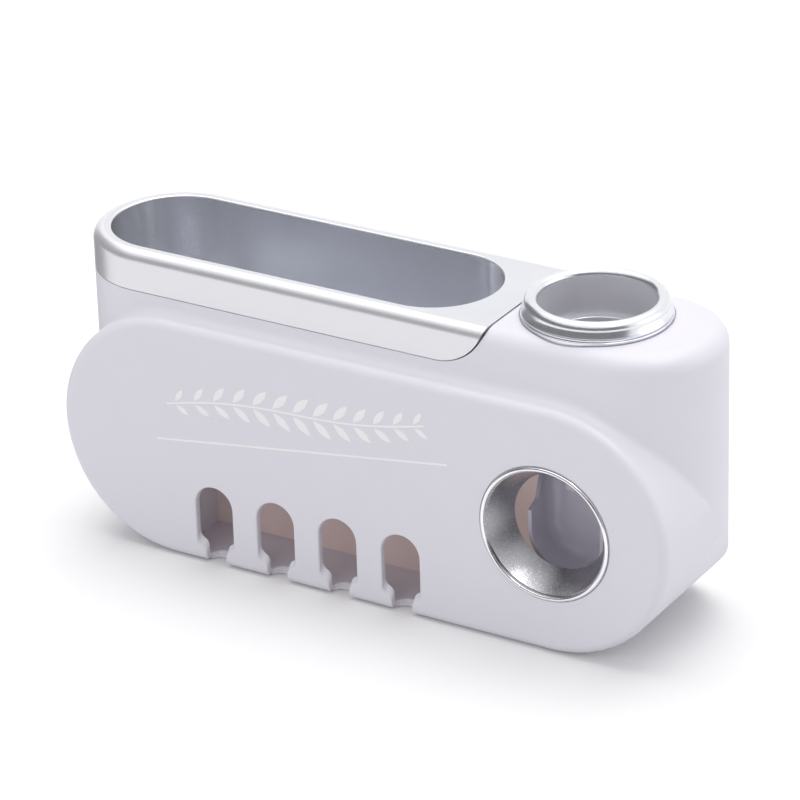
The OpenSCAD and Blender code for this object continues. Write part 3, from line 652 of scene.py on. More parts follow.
def grain_group():
    """Noise of two sizes: a height for the bumps and a mask for tone and gloss."""
    if "moulding_grain" in bpy.data.node_groups:
        return bpy.data.node_groups["moulding_grain"]
    group = bpy.data.node_groups.new("moulding_grain", "ShaderNodeTree")
    for name, kind in (("Vector", "Vector"), ("Grain size", "Float"), ("Cloud size", "Float")):
        group.interface.new_socket(name, in_out="INPUT", socket_type=f"NodeSocket{kind}")
    for name in ("Height", "Mask"):
        group.interface.new_socket(name, in_out="OUTPUT", socket_type="NodeSocketFloat")
    start = group.nodes.new("NodeGroupInput")
    end = group.nodes.new("NodeGroupOutput")
    grain = add_noise(group, start, "Grain size", detail=3.0)
    cloud = add_noise(group, start, "Cloud size", detail=2.0)
    mix = group.nodes.new("ShaderNodeMix")
    mix.inputs["Factor"].default_value = 0.5
    link(group, grain, "Fac", mix, "A")
    link(group, cloud, "Fac", mix, "B")
    link(group, grain, "Fac", end, "Height")
    link(group, mix, "Result", end, "Mask")
    return group


def finish(name, colours, tone, roughness, grain, bump, metallic=0.0, glow=0.0, deep_tone=None):
    """A material whose tone, gloss and bumps follow the moulding grain.

    Roughness is a low and a high, grain the sizes of grain and clouds, bump a strength and a distance.
    """
    material, shader = new_material(name)
    tree = material.node_tree
    coordinates = tree.nodes.new("ShaderNodeTexCoord")
    group = tree.nodes.new("ShaderNodeGroup")
    group.node_tree = grain_group()
    group.inputs["Grain size"].default_value = grain[0]
    group.inputs["Cloud size"].default_value = grain[1]
    link(tree, coordinates, "Object", group, "Vector")
    deep_colour = getattr(colours, deep_tone or f"{tone}_tone")
    shade = mixed_tone(tree, group.outputs["Mask"], deep_colour, getattr(colours, tone))
    tree.links.new(shade, shader.inputs["Base Color"])
    tree.links.new(shade, shader.inputs["Emission Color"])
    shader.inputs["Emission Strength"].default_value = glow
    gloss = tree.nodes.new("ShaderNodeMapRange")
    gloss.inputs["To Min"].default_value = roughness[0]
    gloss.inputs["To Max"].default_value = roughness[1]
    link(tree, group, "Mask", gloss, "Value")
    link(tree, gloss, "Result", shader, "Roughness")
    relief = tree.nodes.new("ShaderNodeBump")
    relief.inputs["Strength"].default_value = bump[0]
    relief.inputs["Distance"].default_value = bump[1]
    link(tree, group, "Height", relief, "Height")
    link(tree, relief, "Normal", shader, "Normal")
    shader.inputs["Metallic"].default_value = metallic
    return material


def shell_plastic(name, colours):
    return finish(name, colours, "shell", roughness=(0.42, 0.52), grain=(2500, 90), bump=(0.06, 0.0001))


def satin_silver(name, colours):
    return finish(
        name, colours, "silver", metallic=0.6,
        roughness=(0.28, 0.40), grain=(3500, 60), bump=(0.10, 0.0001),
    )


def bright_plating(name, colours):
    return finish(
        name, colours, "plating", metallic=0.85,
        roughness=(0.18, 0.28), grain=(3000, 60), bump=(0.05, 0.0001),
    )


# Painted shade: a darker copy of the plating, for the inside of the tray's tub
def tub_plating(name, colours):
    return finish(
        name, colours, "tub", metallic=0.9,
        roughness=(0.18, 0.28), grain=(3000, 60), bump=(0.05, 0.0001),
    )


def grained_plating(name, colours):
    return finish(
        name, colours, "grained", metallic=0.95,
        roughness=(0.20, 0.32), grain=(2400, 900), bump=(0.22, 0.0002),
    )


def bright_chrome(name, colours):
    return finish(
        name, colours, "chrome", deep_tone="silver", metallic=1.0,
        roughness=(0.08, 0.16), grain=(3000, 80), bump=(0.03, 0.0001),
    )


def white_print(name, colours):
    return finish(name, colours, "print", roughness=(0.4, 0.5), grain=(2500, 120), bump=(0.03, 0.0001))


def beige_plastic(name, colours, glow=0.07):
    """Painted light: its faint glow stands in for the daylight that passes through the thin pale walls."""
    return finish(
        name, colours, "beige", glow=glow,
        roughness=(0.45, 0.6), grain=(2200, 70), bump=(0.1, 0.0001),
    )


def lit_beige(name, colours):
    """The wing beside the lever, with a stronger painted glow that stands in for more daylight coming
    through.
    """
    return beige_plastic(name, colours, glow=0.28)


def paddle_plastic(name, colours):
    return finish(name, colours, "paddle", roughness=(0.12, 0.2), grain=(1500, 60), bump=(0.02, 0.0001))


def milky_silicone(name, colours):
    return finish(name, colours, "silicone", roughness=(0.4, 0.55), grain=(1800, 90), bump=(0.1, 0.0001))


def plain_steel(name, colours):
    return finish(
        name, colours, "steel", metallic=1.0,
        roughness=(0.25, 0.4), grain=(2800, 200), bump=(0.1, 0.0001),
    )


def foam_pad(name, colours):
    return finish(name, colours, "pad", roughness=(0.7, 0.9), grain=(1400, 120), bump=(0.4, 0.0002))


FINISHES = {
    "shell": shell_plastic,
    "silver": satin_silver,
    "plating": bright_plating,
    "tub": tub_plating,
    "grained": grained_plating,
    "chrome": bright_chrome,
    "print": white_print,
    "beige": beige_plastic,
    "lit_beige": lit_beige,
    "paddle": paddle_plastic,
    "silicone": milky_silicone,
    "steel": plain_steel,
    "pad": foam_pad,
}


def material_for(key, settings):
    """The finish with this key, made on its first use."""
    make = FINISHES[key]
    return bpy.data.materials.get(make.__name__) or make(make.__name__, settings.colours)


# Shell


def pill(at, grow, steps):
    """Outline of the raised face."""
    return stadium(at.face_end + grow, at.face_radius + grow, steps, at.face_centre)


def body_outline(at, grow, steps):
    """Outline of the body from the front: round lower corners and straight sides up past the top."""
    shift = at.end - at.face_radius
    radius = at.face_radius + grow
    level = at.face_centre.y
    right = arc((shift, level), radius, -90, 0, steps // 2)
    left = arc((-shift, level), radius, 180, 270, steps // 2)
    return right + [(at.end + grow, at.top + SKY), (-at.end - grow, at.top + SKY)] + left


def body_block(name, at, inset, round_edge, steps):
    """The body without its raised face, set in from its outside."""
    levels = rounded_levels(at.base + inset, at.top - inset, round_edge)
    return loft(name, [
        lay_flat(stadium(at.end - inset - more, at.end_radius - inset - more, steps, (0.0, at.middle)), z)
        for more, z in levels
    ])


def raised_face(name, at, inset, round_edge, steps):
    """The raised face, set in from its outside, down to the body's middle."""
    levels = rounded_levels(at.middle, at.face + inset, round_edge)
    return loft(name, [stand(pill(at, -inset - more, steps), y) for more, y in levels])


def cove_centres(at, shell):
    """Centres of a ball that rolls in the corner between the face's side and the body, left to right."""
    reach = at.end_radius + shell.cove
    around = at.face_radius + shell.cove
    left_face = at.face_centre.x - at.face_end + at.face_radius
    right_face = at.face_centre.x + at.face_end - at.face_radius
    shift = at.end - at.end_radius
    left_steps, front_steps, right_steps = COVE_STEPS
    least = math.degrees(math.acos(min(1.0, (around - left_face - shift) / reach)))
    spots = arc((-shift, at.middle), reach, 180 + least, 270, left_steps)
    spots += [(shift * (2 * i / front_steps - 1), at.middle - reach) for i in range(1, front_steps)]
    spots += arc((shift, at.middle), reach, -90, -math.degrees(shell.cove_end), right_steps)
    centres = []
    for x, y in spots:
        axis = min(max(x, left_face), right_face)
        rise = math.sqrt(max(0.0, around ** 2 - (x - axis) ** 2))
        centres.append((Vector((x, y, at.face_centre.y + rise)), axis))
    return centres


def cove_filler(at, shell, sink=0.00002, steps=10):
    """The solid that fills the corner with a hollow, sunk a little into both walls."""
    shift = at.end - at.end_radius
    deep = shell.cove + OVER
    loops = []
    for centre, axis in cove_centres(at, shell):
        to_face = Vector((axis - centre.x, 0.0, at.face_centre.y - centre.z)).normalized()
        post = min(max(centre.x, -shift), shift)
        to_wall = Vector((post - centre.x, at.middle - centre.y, 0.0)).normalized()
        section = [
            centre + (shell.cove + sink) * to_face.slerp(to_wall, i / steps)
            for i in range(steps + 1)
        ]
        section += [centre + deep * side for side in (to_wall, to_wall + to_face, to_face)]
        loops.append(section)
    return loft("cove", loops)


def slot_outline(x, at, slots, grow, lift=0.0, steps=8):
    """Outline of a toothbrush slot: round top, sloping shoulders and a narrow neck open at the base."""
    half, neck, foot = slots.width / 2, slots.neck / 2, slots.foot_round
    sweep = math.degrees(slots.shoulder)
    bend = (half - neck) / 2 / (1 - math.cos(slots.shoulder))
    rise = bend * math.sin(slots.shoulder)
    middle = at.base + slots.neck_height + lift
    right = arc((half - bend, middle + rise), bend + grow, 0, -sweep, steps)
    right += arc((neck + bend, middle - rise), bend - grow, 180 - sweep, 180, steps)
    right += arc((neck + foot, at.base + foot), foot - grow, 180, 270, steps)
    right.append((neck + foot, at.base - 2 * OVER))
    crown = arc((0.0, at.base + slots.height - half), half + grow, 180, 0, 3 * steps)
    left = [(-p[0], p[1]) for p in reversed(right)]
    return [(x + p[0], p[1]) for p in left + crown + right]


def slot_cutter(x, at, slots, wall):
    """The space of a slot, whose shoulders slope down towards the front."""
    loops = []
    for grow, y in tool_levels(at.face + wall + OVER, at.face, slots.edge_round):
        lift = slots.ramp * max(0.0, y - at.face) / wall
        loops.append(stand(slot_outline(x, at, slots, grow, lift), y))
    return loft("slot", loops)


def notch_cutter(x, at, slots, wall, steps=24):
    """The notch in the floor behind a slot's neck: a slope at its end and a softened lower edge."""
    half, front = slots.neck / 2, at.face - OVER
    levels = [(slots.notch_slope, at.base + wall + OVER)]
    levels += tool_levels(at.base + slots.notch_edge, at.base, slots.edge_round / 2)
    loops = []
    for grow, z in levels:
        depth = slots.notch_depth + grow
        end = arc((x, at.face + wall), half, 180, 0, steps, squeeze=depth / half)
        loops.append(lay_flat([(x + half, front), (x - half, front)] + end, z))
    return loft("notch", loops)


def tray_prism(name, at, tray, steps, under=0.0, side=0.0):
    """The tray's share of the body, cut straight through it and grown towards the body."""
    left, sky = -at.end - 2 * OVER, at.corner.y + 2 * OVER
    radius = tray.corner + side
    bend = arc(at.corner, radius, -90, 0, steps // 2, squeeze=(tray.corner + under) / radius)
    outline = [(left, at.band_low - under)] + bend + [(at.tray_right + side, sky), (left, sky)]
    return prism(name, stand, outline, at.face - OVER, at.back + OVER)


def chamber_ribs(at, shell):
    """Side walls and ceiling of the brush chamber."""
    left, back, rib = CHAMBER_LOW.x, CHAMBER_LOW.y, shell.rib
    right, top = at.slot_xs[-1] + shell.chamber_past, at.base + shell.chamber_height
    front, floor = at.face + shell.wall / 2, at.base + shell.wall / 2
    sides = [block("rib", (x, front, floor), (x + rib, back, top - rib)) for x in (left, right - rib)]
    return sides + [block("ceiling", (left, front, top - rib), (right, back, top))]


def screw_places(back):
    """Where the cover's screws stand, from left to right."""
    z = COVER_LOW.z + back.post_inset
    return [(x, z) for x in (COVER_LOW.x + back.post_inset, 0.0, COVER_HIGH.x - back.post_inset)]


def cover_posts(at, back, shell):
    """Posts for the cover's screws, each on a web."""
    web, start, floor = back.screw, at.cover_front - back.post_length, at.base + shell.wall / 2
    tools = []
    for x, z in screw_places(back):
        tools.append(rod("post", (x, z), back.post, start, at.cover_front))
        tools.append(block("web", (x - web, start, floor), (x + web, at.cover_front - 2 * web, z)))
    return tools


def ring_holes(at, dispenser, shell):
    """Holes for the funnel and the collar, each with a shallow seam round it."""
    front, above = (at.funnel.x, at.funnel.z), (at.funnel.x, at.middle)
    through, depth = shell.wall + OVER, dispenser.seam_depth
    fine, plain = dispenser.ring_steps // 2, shell.arc_steps
    funnel_seam = at.lip_radius + dispenser.seam
    funnel_hole = at.lip_radius - dispenser.lip_width + dispenser.seat_gap
    collar_hole = dispenser.collar_bore + dispenser.collar_wall + dispenser.seat_gap
    hole = circle(collar_hole, plain, above)
    seam = circle(at.flange_radius + dispenser.seam, fine, above)
    return [
        rod("funnel_hole", front, funnel_hole, at.face - OVER, at.face + through, plain),
        rod("funnel_seam", front, funnel_seam, at.face - OVER, at.face + depth, fine),
        prism("collar_hole", lay_flat, hole, at.top - through, at.top + OVER),
        prism("collar_seam", lay_flat, seam, at.top - depth, at.top + OVER),
    ]


def cover_cutters(at, back, wall, steps=12):
    """The opening behind the rear cover and the bores in its screw posts."""
    gap, half_width = back.cover_gap, (COVER_HIGH.x - COVER_LOW.x) / 2
    half_height, corner = at.cover_middle - COVER_LOW.z, back.cover_corner
    centre = (0.0, at.cover_middle)
    outline = rounded_rectangle(half_width + gap, half_height + gap, corner + gap, steps, centre)
    tools = [prism("cover_space", stand, outline, at.back - wall - OVER, at.back + OVER)]
    bore_end = at.cover_front - back.post_length + back.screw
    return tools + [rod("bore", spot, back.screw, bore_end, at.back + OVER) for spot in screw_places(back)]


def make_shell(settings):
    """The body shell with its raised face, slots, ribs and holes."""
    shell, slots, back = settings.shell, settings.slots, settings.back
    at, steps, wall = places(settings), shell.arc_steps, shell.wall
    piece = body_block("body_shell_skin", at, 0.0, shell.top_round, steps)
    levels = tool_levels(at.face - OVER, at.back, shell.back_round, steps=5)
    outline = loft("outline", [stand(body_outline(at, -more, steps), y) for more, y in levels])
    combine(piece, outline, "INTERSECT")
    add(piece, raised_face("face", at, 0.0, shell.face_round, steps), cove_filler(at, shell))
    hollow = body_block("hollow", at, wall, shell.top_round - wall, steps)
    inner = prism("inner", stand, body_outline(at, -wall, steps), at.face - OVER, at.back + OVER)
    combine(hollow, inner, "INTERSECT")
    add(hollow, raised_face("inner_face", at, wall, shell.face_round - wall, steps))
    cut(piece, hollow)
    add(piece, *chamber_ribs(at, shell), *cover_posts(at, back, shell))
    tray = settings.tray
    cut(piece, tray_prism("tray_space", at, tray, steps, tray.gap_under, tray.gap_side))
    for x in at.slot_xs:
        cut(piece, slot_cutter(x, at, slots, wall), notch_cutter(x, at, slots, wall))
    cut(piece, *ring_holes(at, settings.dispenser, shell), *cover_cutters(at, back, wall))
    settle(piece, "housing", "shell", material_for("shell", settings), "body_shell")


# Tray


def make_tray(settings):
    """The plated tray: its share of the body's outside with a tub hung in it."""
    tray, steps = settings.tray, settings.shell.arc_steps
    at = places(settings)
    piece = body_block("storage_tray_skin", at, 0.0, tray.top_round, steps)
    combine(piece, tray_prism("tray_share", at, tray, steps), "INTERSECT")
    skirt = stadium(at.end - tray.wall, at.end_radius - tray.wall, steps, (0.0, at.middle))
    cut(piece, prism("skirt_space", lay_flat, skirt, at.base, at.top - tray.plate))
    half = (at.mouth_right - at.mouth_left) / 2
    centre = ((at.mouth_right + at.mouth_left) / 2, at.middle)

    def tub(name, levels):
        return loft(name, [
            lay_flat(stadium(half + grow, at.mouth_radius + grow, steps, centre), z) for grow, z in levels
        ])

    outside = rounded_levels(at.top - tray.plate / 2, TRAY_LOW.z, tray.floor_round)
    add(piece, tub("tub", [(tray.wall - more, z) for more, z in outside]))
    floor = [(-more, z) for more, z in reversed(rounded_levels(at.top, at.tub_floor, tray.floor_round))]
    mouth = tool_levels(at.tub_floor, at.top, tray.mouth_round, steps=6)[1:]
    cut(piece, tub("tub_space", floor[:-1] + mouth))
    settle(piece, "tray", "silver", material_for("silver", settings), "storage_tray")

    def in_tub(spot):
        shift = half - at.mouth_radius
        x = min(max(spot.x, centre[0] - shift), centre[0] + shift)
        away = math.hypot(spot.x - x, spot.y - at.middle)
        return away < at.mouth_radius + WELD and spot.z > at.tub_floor - WELD

    # Painted shade: the tub's inside takes the darker copy of the plating
    refinish(piece, material_for("tub", settings), in_tub)


# Dispenser rings


def make_funnel(settings):
    """The silver funnel in the front face, with a groove and a bright lip round it."""
    dispenser, at = settings.dispenser, places(settings)
    lip, proud, width = at.lip_radius, at.lip_proud, dispenser.lip_width
    seat, groove, throat = lip - width, dispenser.groove, dispenser.throat
    sunk, deep = -dispenser.seam_depth, -dispenser.throat_depth
    lip_middle = (lip - width / 2, proud / 4)
    lip_crown = (proud - lip_middle[1]) / (width / 2)
    profile = [(seat, sunk), (lip - groove / 4, sunk)]
    profile += arc(lip_middle, width / 2, start=-25, end=205, steps=16, squeeze=lip_crown)
    profile += [(seat + groove / 4, -2 * groove), (seat - groove, -groove)]
    profile += [(throat, deep), (throat + dispenser.funnel_wall, deep)]
    profile.append((seat, -settings.shell.wall - width))
    piece = turned("front_funnel_skin", profile, at.funnel, (0, -1, 0), dispenser.ring_steps)
    settle(piece, "housing", "silver", material_for("grained", settings), "front_funnel")

    def in_lip(spot):
        away = math.hypot(spot.x - at.funnel.x, spot.z - at.funnel.z)
        return spot.y < at.face + 2 * groove and away > seat - groove / 4

    refinish(piece, material_for("chrome", settings), in_lip)


def collar_skirt(dispenser, low, high, steps=12):
    """The skirt's side from its foot up to the rim, which flares out towards the foot."""
    points = []
    for i in range(steps + 1):
        share = i / steps
        flare = dispenser.skirt * (1 - share) ** dispenser.skirt_bend
        points.append((dispenser.rim + flare, low + (high - low) * share))
    return points


def make_collar(settings):
    """The silver ring that the toothpaste tube stands in: sleeve, flange, ridge, skirt and rolled rim."""
    dispenser, at = settings.dispenser, places(settings)
    bore, rim, flange = dispenser.collar_bore, dispenser.rim, at.flange_radius
    high, low, sunk = COLLAR_HIGH.z - at.top, COLLAR_LOW.z - at.top, -dispenser.seam_depth
    sleeve, narrow = bore + dispenser.collar_wall, bore - dispenser.ledge
    roll, drop, ridge = dispenser.roll, dispenser.roll_drop, dispenser.ridge
    thick, edge = dispenser.flange, dispenser.flange_edge
    ledge = low + dispenser.ledge_height
    ridge_middle = (flange - dispenser.ridge_step - ridge, thick + ridge)
    crown = rim - roll - bore
    profile = [(narrow, low), (sleeve, low), (sleeve, sunk), (flange - edge, sunk)]
    profile += [(flange - edge / 2, sunk + edge), (flange, edge)]
    profile += arc((flange - edge, thick - edge), edge, 0, 90, steps=4)
    profile += arc(ridge_middle, ridge, start=-80, end=60, steps=12)
    profile += collar_skirt(dispenser, thick + 2 * ridge, high - roll)
    profile += arc((rim - roll, high - roll), roll, 0, 90, steps=14)[1:]
    profile += arc((rim - roll, high - drop), crown, 90, 180, steps=12, squeeze=drop / crown)[1:]
    profile.append((bore, ledge))
    profile += arc((narrow + edge, ledge - edge), edge, 90, 180, steps=4)
    centre = (at.funnel.x, at.middle, at.top)
    piece = turned("tube_collar_skin", profile, centre, (0, 0, 1), dispenser.ring_steps)
    settle(piece, "housing", "silver", material_for("plating", settings), "tube_collar")

    def in_bore(spot):
        return math.hypot(spot.x - centre[0], spot.y - centre[1]) < bore + WELD

    # Painted light: the bore takes the tray's less metallic silver, which reads lighter than the plating
    refinish(piece, material_for("silver", settings), in_bore)


# Lever


def cheek_cutter(lever, axis, half, front, middle, top):
    """What the steps leave open above the scoop's cheeks, from the front up to the top."""
    corners = [
        (front + depth * lever.length, middle + rise * lever.height)
        for depth, rise in CHEEK_STEP_SHARES
    ]
    start, end = (front - OVER, corners[0][1]), (corners[-1][0], top + OVER)
    outline = rounded_path([start, *corners, end], lever.step_round) + [(start[0], end[1])]
    return prism("cheek_steps", stand_across, outline, axis - half - OVER, axis + half + OVER)


def make_lever(settings):
    """The lever: a dished scoop behind the funnel, its hub on the pin and an arm with a nose."""
    lever, at = settings.lever, places(settings)
    axis, half = at.funnel.x, (LEVER_HIGH.x - LEVER_LOW.x) / 2
    front, middle = LEVER_LOW.y, LEVER_LOW.z + half
    low, back, top = middle - lever.drop, front + lever.length, middle + lever.height

    def scoop(name, levels, inset, sky, steps=32):
        loops = []
        for more, y in levels:
            radius = half - inset - more
            bottom = arc((axis, low), radius, 180, 360, steps)
            loops.append(stand(bottom + [(axis + radius, sky), (axis - radius, sky)], y))
        return loft(name, loops)

    piece = scoop("push_lever_skin", rounded_levels(front, back, lever.back_round), 0.0, top)
    dish = rounded_levels(front - OVER, back - lever.wall, lever.dish)
    cut(piece, scoop("dish", dish, lever.wall, top + OVER))
    cut(piece, cheek_cutter(lever, axis, half, front, middle, top))
    hinge = ((PIN_LOW.y + PIN_HIGH.y) / 2, (PIN_LOW.z + PIN_HIGH.z) / 2)
    nose = (LEVER_HIGH.y - lever.nose, hinge[1] - lever.nose - lever.pin_fit)
    reach, arm_low = lever.nose_length / 2, nose[1] - lever.nose / 2
    neck_low = (axis - half, back - lever.wall, hinge[1] - lever.hub)
    add(
        piece,
        bar("hub", hinge, lever.hub, axis - half, axis + half),
        block("neck", neck_low, (axis + half, hinge[0], top)),
        bar("nose", nose, lever.nose, axis - reach, axis + reach),
        block("arm", (axis - reach, hinge[0], arm_low), (axis + reach, nose[0], arm_low + lever.arm)),
    )
    soften(piece, lever.edge)
    settle(piece, "lever", "paddle", material_for("paddle", settings), "push_lever")


# Pump


def make_yielding(node, slot, settings):
    """A copy of a fixed solid, with its finish and a mesh of its own, for a part that gives way upwards as
    the button lifts.
    """
    bm = bmesh.new()
    bm.from_mesh(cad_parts[node].data)
    bmesh.ops.remove_doubles(bm, verts=bm.verts, dist=WELD)
    bmesh.ops.recalc_face_normals(bm, faces=bm.faces)
    piece = to_piece(f"{node}_skin", bm)
    settle(piece, "housing", slot, material_for(slot, settings), node)
    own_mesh(piece)


def make_pump(settings):
    """The silicone dome that the button presses in, and the spring above it."""
    make_yielding("pump_diaphragm", "silicone", settings)
    make_yielding("return_spring", "steel", settings)


# Ornament on the face


def ornament_point(at, ornament, along, above):
    """A point of the face, from its distances along the line and above it."""
    tilt = ornament.tilt
    x = -at.end + ornament.inset + along * math.cos(tilt) - above * math.sin(tilt)
    z = at.base + ornament.rise + along * math.sin(tilt) + above * math.cos(tilt)
    return x, z


def stem_point(ornament, share):
    """Place along and above the line of a point on the sprig's stem, and the stem's slope there."""
    span = ornament.span - 2 * ornament.stem_inset
    wave = math.radians(360)
    along = ornament.stem_inset + span * share
    above = ornament.stem_rise + ornament.sway * math.sin(wave * share)
    return along, above, math.atan(ornament.sway * wave / span * math.cos(wave * share))


def leaf_outline(ornament, share, side, steps=8):
    """Outline of one leaf beside the stem, along and above the line."""
    along, above, slope = stem_point(ornament, share)
    least = ornament.end_leaf_share
    size = least + (1 - least) * math.sin(math.pi * share)
    angle = slope + side * ornament.leaf_turn
    out = side * (ornament.width / 2 + ornament.leaf_gap)
    along, above = along - out * math.sin(slope), above + out * math.cos(slope)
    points = []
    for i in range(2 * steps):
        reach = size * ornament.leaf * (1 - abs(1 - i / steps))
        half = size * ornament.leaf_width / 2 * math.sin(math.pi * i / steps)
        points.append((
            along + reach * math.cos(angle) - half * math.sin(angle),
            above + reach * math.sin(angle) + half * math.cos(angle),
        ))
    return points


def strip_outline(points, width):
    """Outline of a strip through points, each a place along and above the line and a slope."""
    sides = []
    for half in (width / 2, -width / 2):
        sides.append([
            (along - half * math.sin(slope), above + half * math.cos(slope))
            for along, above, slope in points
        ])
    return sides[0] + sides[1][::-1]


def make_ornament(settings):
    """The white line and the leafy sprig, which are thin solids in the front face."""
    ornament, at = settings.ornament, places(settings)
    pairs, steps = ornament.leaf_pairs, ornament.stem_steps
    stem = [stem_point(ornament, i / steps) for i in range(steps + 1)]
    outlines = [
        strip_outline([(0.0, 0.0, 0.0), (ornament.span, 0.0, 0.0)], ornament.width),
        strip_outline(stem, ornament.width),
    ]
    for i in range(pairs):
        outlines += [leaf_outline(ornament, (i + 0.5) / pairs, side) for side in (1, -1)]
    stacks = []
    for outline in outlines:
        spots = [ornament_point(at, ornament, *point) for point in outline]
        stacks.append([stand(spots, at.face + ornament.relief), stand(spots, at.face - ornament.relief)])
    piece = loft("face_ornament", *stacks)
    settle(piece, "housing", "shell", material_for("print", settings))


# Back


def make_cover(settings):
    """The rear cover with its tabs, screw bores and windows for the hooks."""
    back, at = settings.back, places(settings)
    low = Vector((COVER_LOW.x, at.cover_front, COVER_LOW.z))
    high = Vector((COVER_HIGH.x, COVER_HIGH.y, 2 * at.cover_middle - COVER_LOW.z))
    start, end = low.y - OVER, high.y + OVER
    piece = slab("rear_cover_skin", low, high, back.cover_corner, back.edge)
    third = (COVER_HIGH.x - COVER_LOW.x) / 3
    front, foot_low = high.y - back.tab_shift, high.z - back.tab_rise
    for x in (-third, 0.0, third):
        left, right = x - back.tab / 2, x + back.tab / 2
        tab_high = (right, front + back.tab_wall, high.z + back.tab_rise)
        foot_high = (right, low.y + back.edge, high.z - back.cover_gap)
        add(piece, block("tab", (left, front, foot_low), tab_high))
        add(piece, block("tab_foot", (left, front, foot_low), foot_high))
    for spot in screw_places(back):
        cut(piece, rod("bore", spot, back.screw + back.cover_gap, start, end))
    half = back.hook / 2 + back.window_gap
    middle, rise = (back.window_low + back.window_high) / 2, (back.window_high - back.window_low) / 2
    for x in (-back.hook_shift, back.hook_shift):
        window = rounded_rectangle(half, rise, back.edge, steps=4, centre=(x, middle))
        cut(piece, prism("window", stand, window, start, end))
    settle(piece, "housing", "beige", material_for("beige", settings), "rear_cover")


def make_screws(settings):
    """The cover's screws, with domed heads and cross recesses."""
    back, at = settings.back, places(settings)
    head, crown, recess = back.screw_head, back.screw_crown, back.recess
    height, shank = SCREWS_HIGH.y - at.back, at.back - SCREWS_LOW.y
    profile = [(0.0, -shank), (back.screw, -shank), (back.screw, 0.0), (head, 0.0)]
    profile += arc((head - crown, height - crown), crown, 0, 90, steps=6) + [(0.0, height)]
    screws = []
    for x, z in screw_places(back):
        screw = turned("cover_screws_skin", profile, (x, at.back, z), (0, 1, 0), back.screw_steps)
        for width, rise in ((head, recess), (recess, head)):
            low = (x - width / 2, at.back + height / 2, z - rise / 2)
            cut(screw, block("recess", low, (x + width / 2, SCREWS_HIGH.y + OVER, z + rise / 2)))
        screws.append(screw)
    add(*screws)
    settle(screws[0], "housing", "steel", material_for("steel", settings), "cover_screws")


def make_wall_plate(settings):
    """The wall plate with its two hooks, and the pad behind it."""
    back = settings.back
    low = Vector((PLATE_LOW.x, PLATE_HIGH.y - back.plate, PLATE_LOW.z))
    piece = slab("wall_plate_skin", low, PLATE_HIGH, back.plate_corner, back.edge)
    front, foot, neck = PLATE_LOW.y, back.hook_low, back.hook_neck
    hook_high = foot + neck / 2 + back.hook_rise
    for x in (-back.hook_shift, back.hook_shift):
        left, right = x - back.hook / 2, x + back.hook / 2
        add(piece, block("neck", (left, front, foot), (right, low.y + back.edge, foot + neck)))
        add(piece, block("lip", (left, front, foot), (right, front + back.hook_wall, hook_high)))
    settle(piece, "housing", "shell", material_for("shell", settings), "wall_plate")
    pad = slab("adhesive_pad_skin", PAD_LOW, PAD_HIGH, back.pad_corner, back.edge / 2)
    settle(pad, "housing", "pad", material_for("pad", settings), "adhesive_pad")


# Inner pieces, whose solids are kept as they are


NODE_FINISHES = {
    "shell": ["tube_cup", "pump_block", "diaphragm_ring", "pump_button"],
    "paddle": ["nozzle"],
    "beige": ["chamber_back"],
    "silicone": ["neck_sleeve", "inlet_valve", "outlet_valve"],
    "steel": ["block_screws", "ring_screws", "lever_pin", "pin_clip"],
}


def dress(node, material):
    """Gives a fixed node its finish and leaves its mesh as it is."""
    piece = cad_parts[node]
    piece.data.materials.clear()
    piece.data.materials.append(material)
    for face in piece.data.polygons:
        face.material_index = 0


def dress_inner(settings):
    """Finishes of the pieces inside; past the chamber's right side the chamber's back wall has a stronger
    painted glow.
    """
    for key, nodes in NODE_FINISHES.items():
        for node in nodes:
            dress(node, material_for(key, settings))
    right = places(settings).slot_xs[-1] + settings.shell.chamber_past
    chamber_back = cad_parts["chamber_back"]
    refinish(chamber_back, material_for("lit_beige", settings), lambda spot: spot.x > right)


# Stage


# Direction and spread in degrees of each light, and whether mirrors and matt surfaces take it up.
# The side light is the bright spot in the funnel.
SUNS = {
    "key": ((0.1, -0.25, -1.0), 60, True, True),
    "back_right": ((-1.0, -0.5, -0.3), 40, True, True),
    "side": ((-0.34, 0.02, -0.94), 20, True, False),
    "front": ((0.35, 1.0, -0.25), 60, False, True),
}

# Roughness of the floor and the cloth
MATT = 0.9


def view_axes(stage):
    """The camera's right, up and backward directions."""
    azimuth, level, roll = stage.azimuth, math.cos(stage.elevation), stage.roll
    back = Vector((math.sin(azimuth) * level, -math.cos(azimuth) * level, math.sin(stage.elevation)))
    right = Vector((math.cos(azimuth), math.sin(azimuth), 0.0))
    up = back.cross(right)
    return math.cos(roll) * right + math.sin(roll) * up, math.cos(roll) * up - math.sin(roll) * right, back


def make_camera(stage):
    right, up, back = view_axes(stage)
    data = bpy.data.cameras.new("camera")
    data.lens = stage.lens
    data.clip_end = 4 * stage.floor_radius
    camera = bpy.data.objects.new("camera", data)
    spot = Vector(stage.aim) + stage.distance * back
    camera.matrix_world = Matrix.Translation(spot) @ Matrix((right, up, back)).transposed().to_4x4()
    bpy.context.scene.collection.objects.link(camera)
    bpy.context.scene.camera = camera


def seen_ray(tree):
    """A socket that is 1 where the camera, a reflection or a clear piece looks, and 0 for light."""
    path = tree.nodes.new("ShaderNodeLightPath")
    seen = path.outputs["Is Camera Ray"]
    for ray in ("Is Glossy Ray", "Is Transmission Ray"):
        either = tree.nodes.new("ShaderNodeMath")
        either.operation = "MAXIMUM"
        tree.links.new(seen, either.inputs[0])
        tree.links.new(path.outputs[ray], either.inputs[1])
        seen = either.outputs["Value"]
    return seen


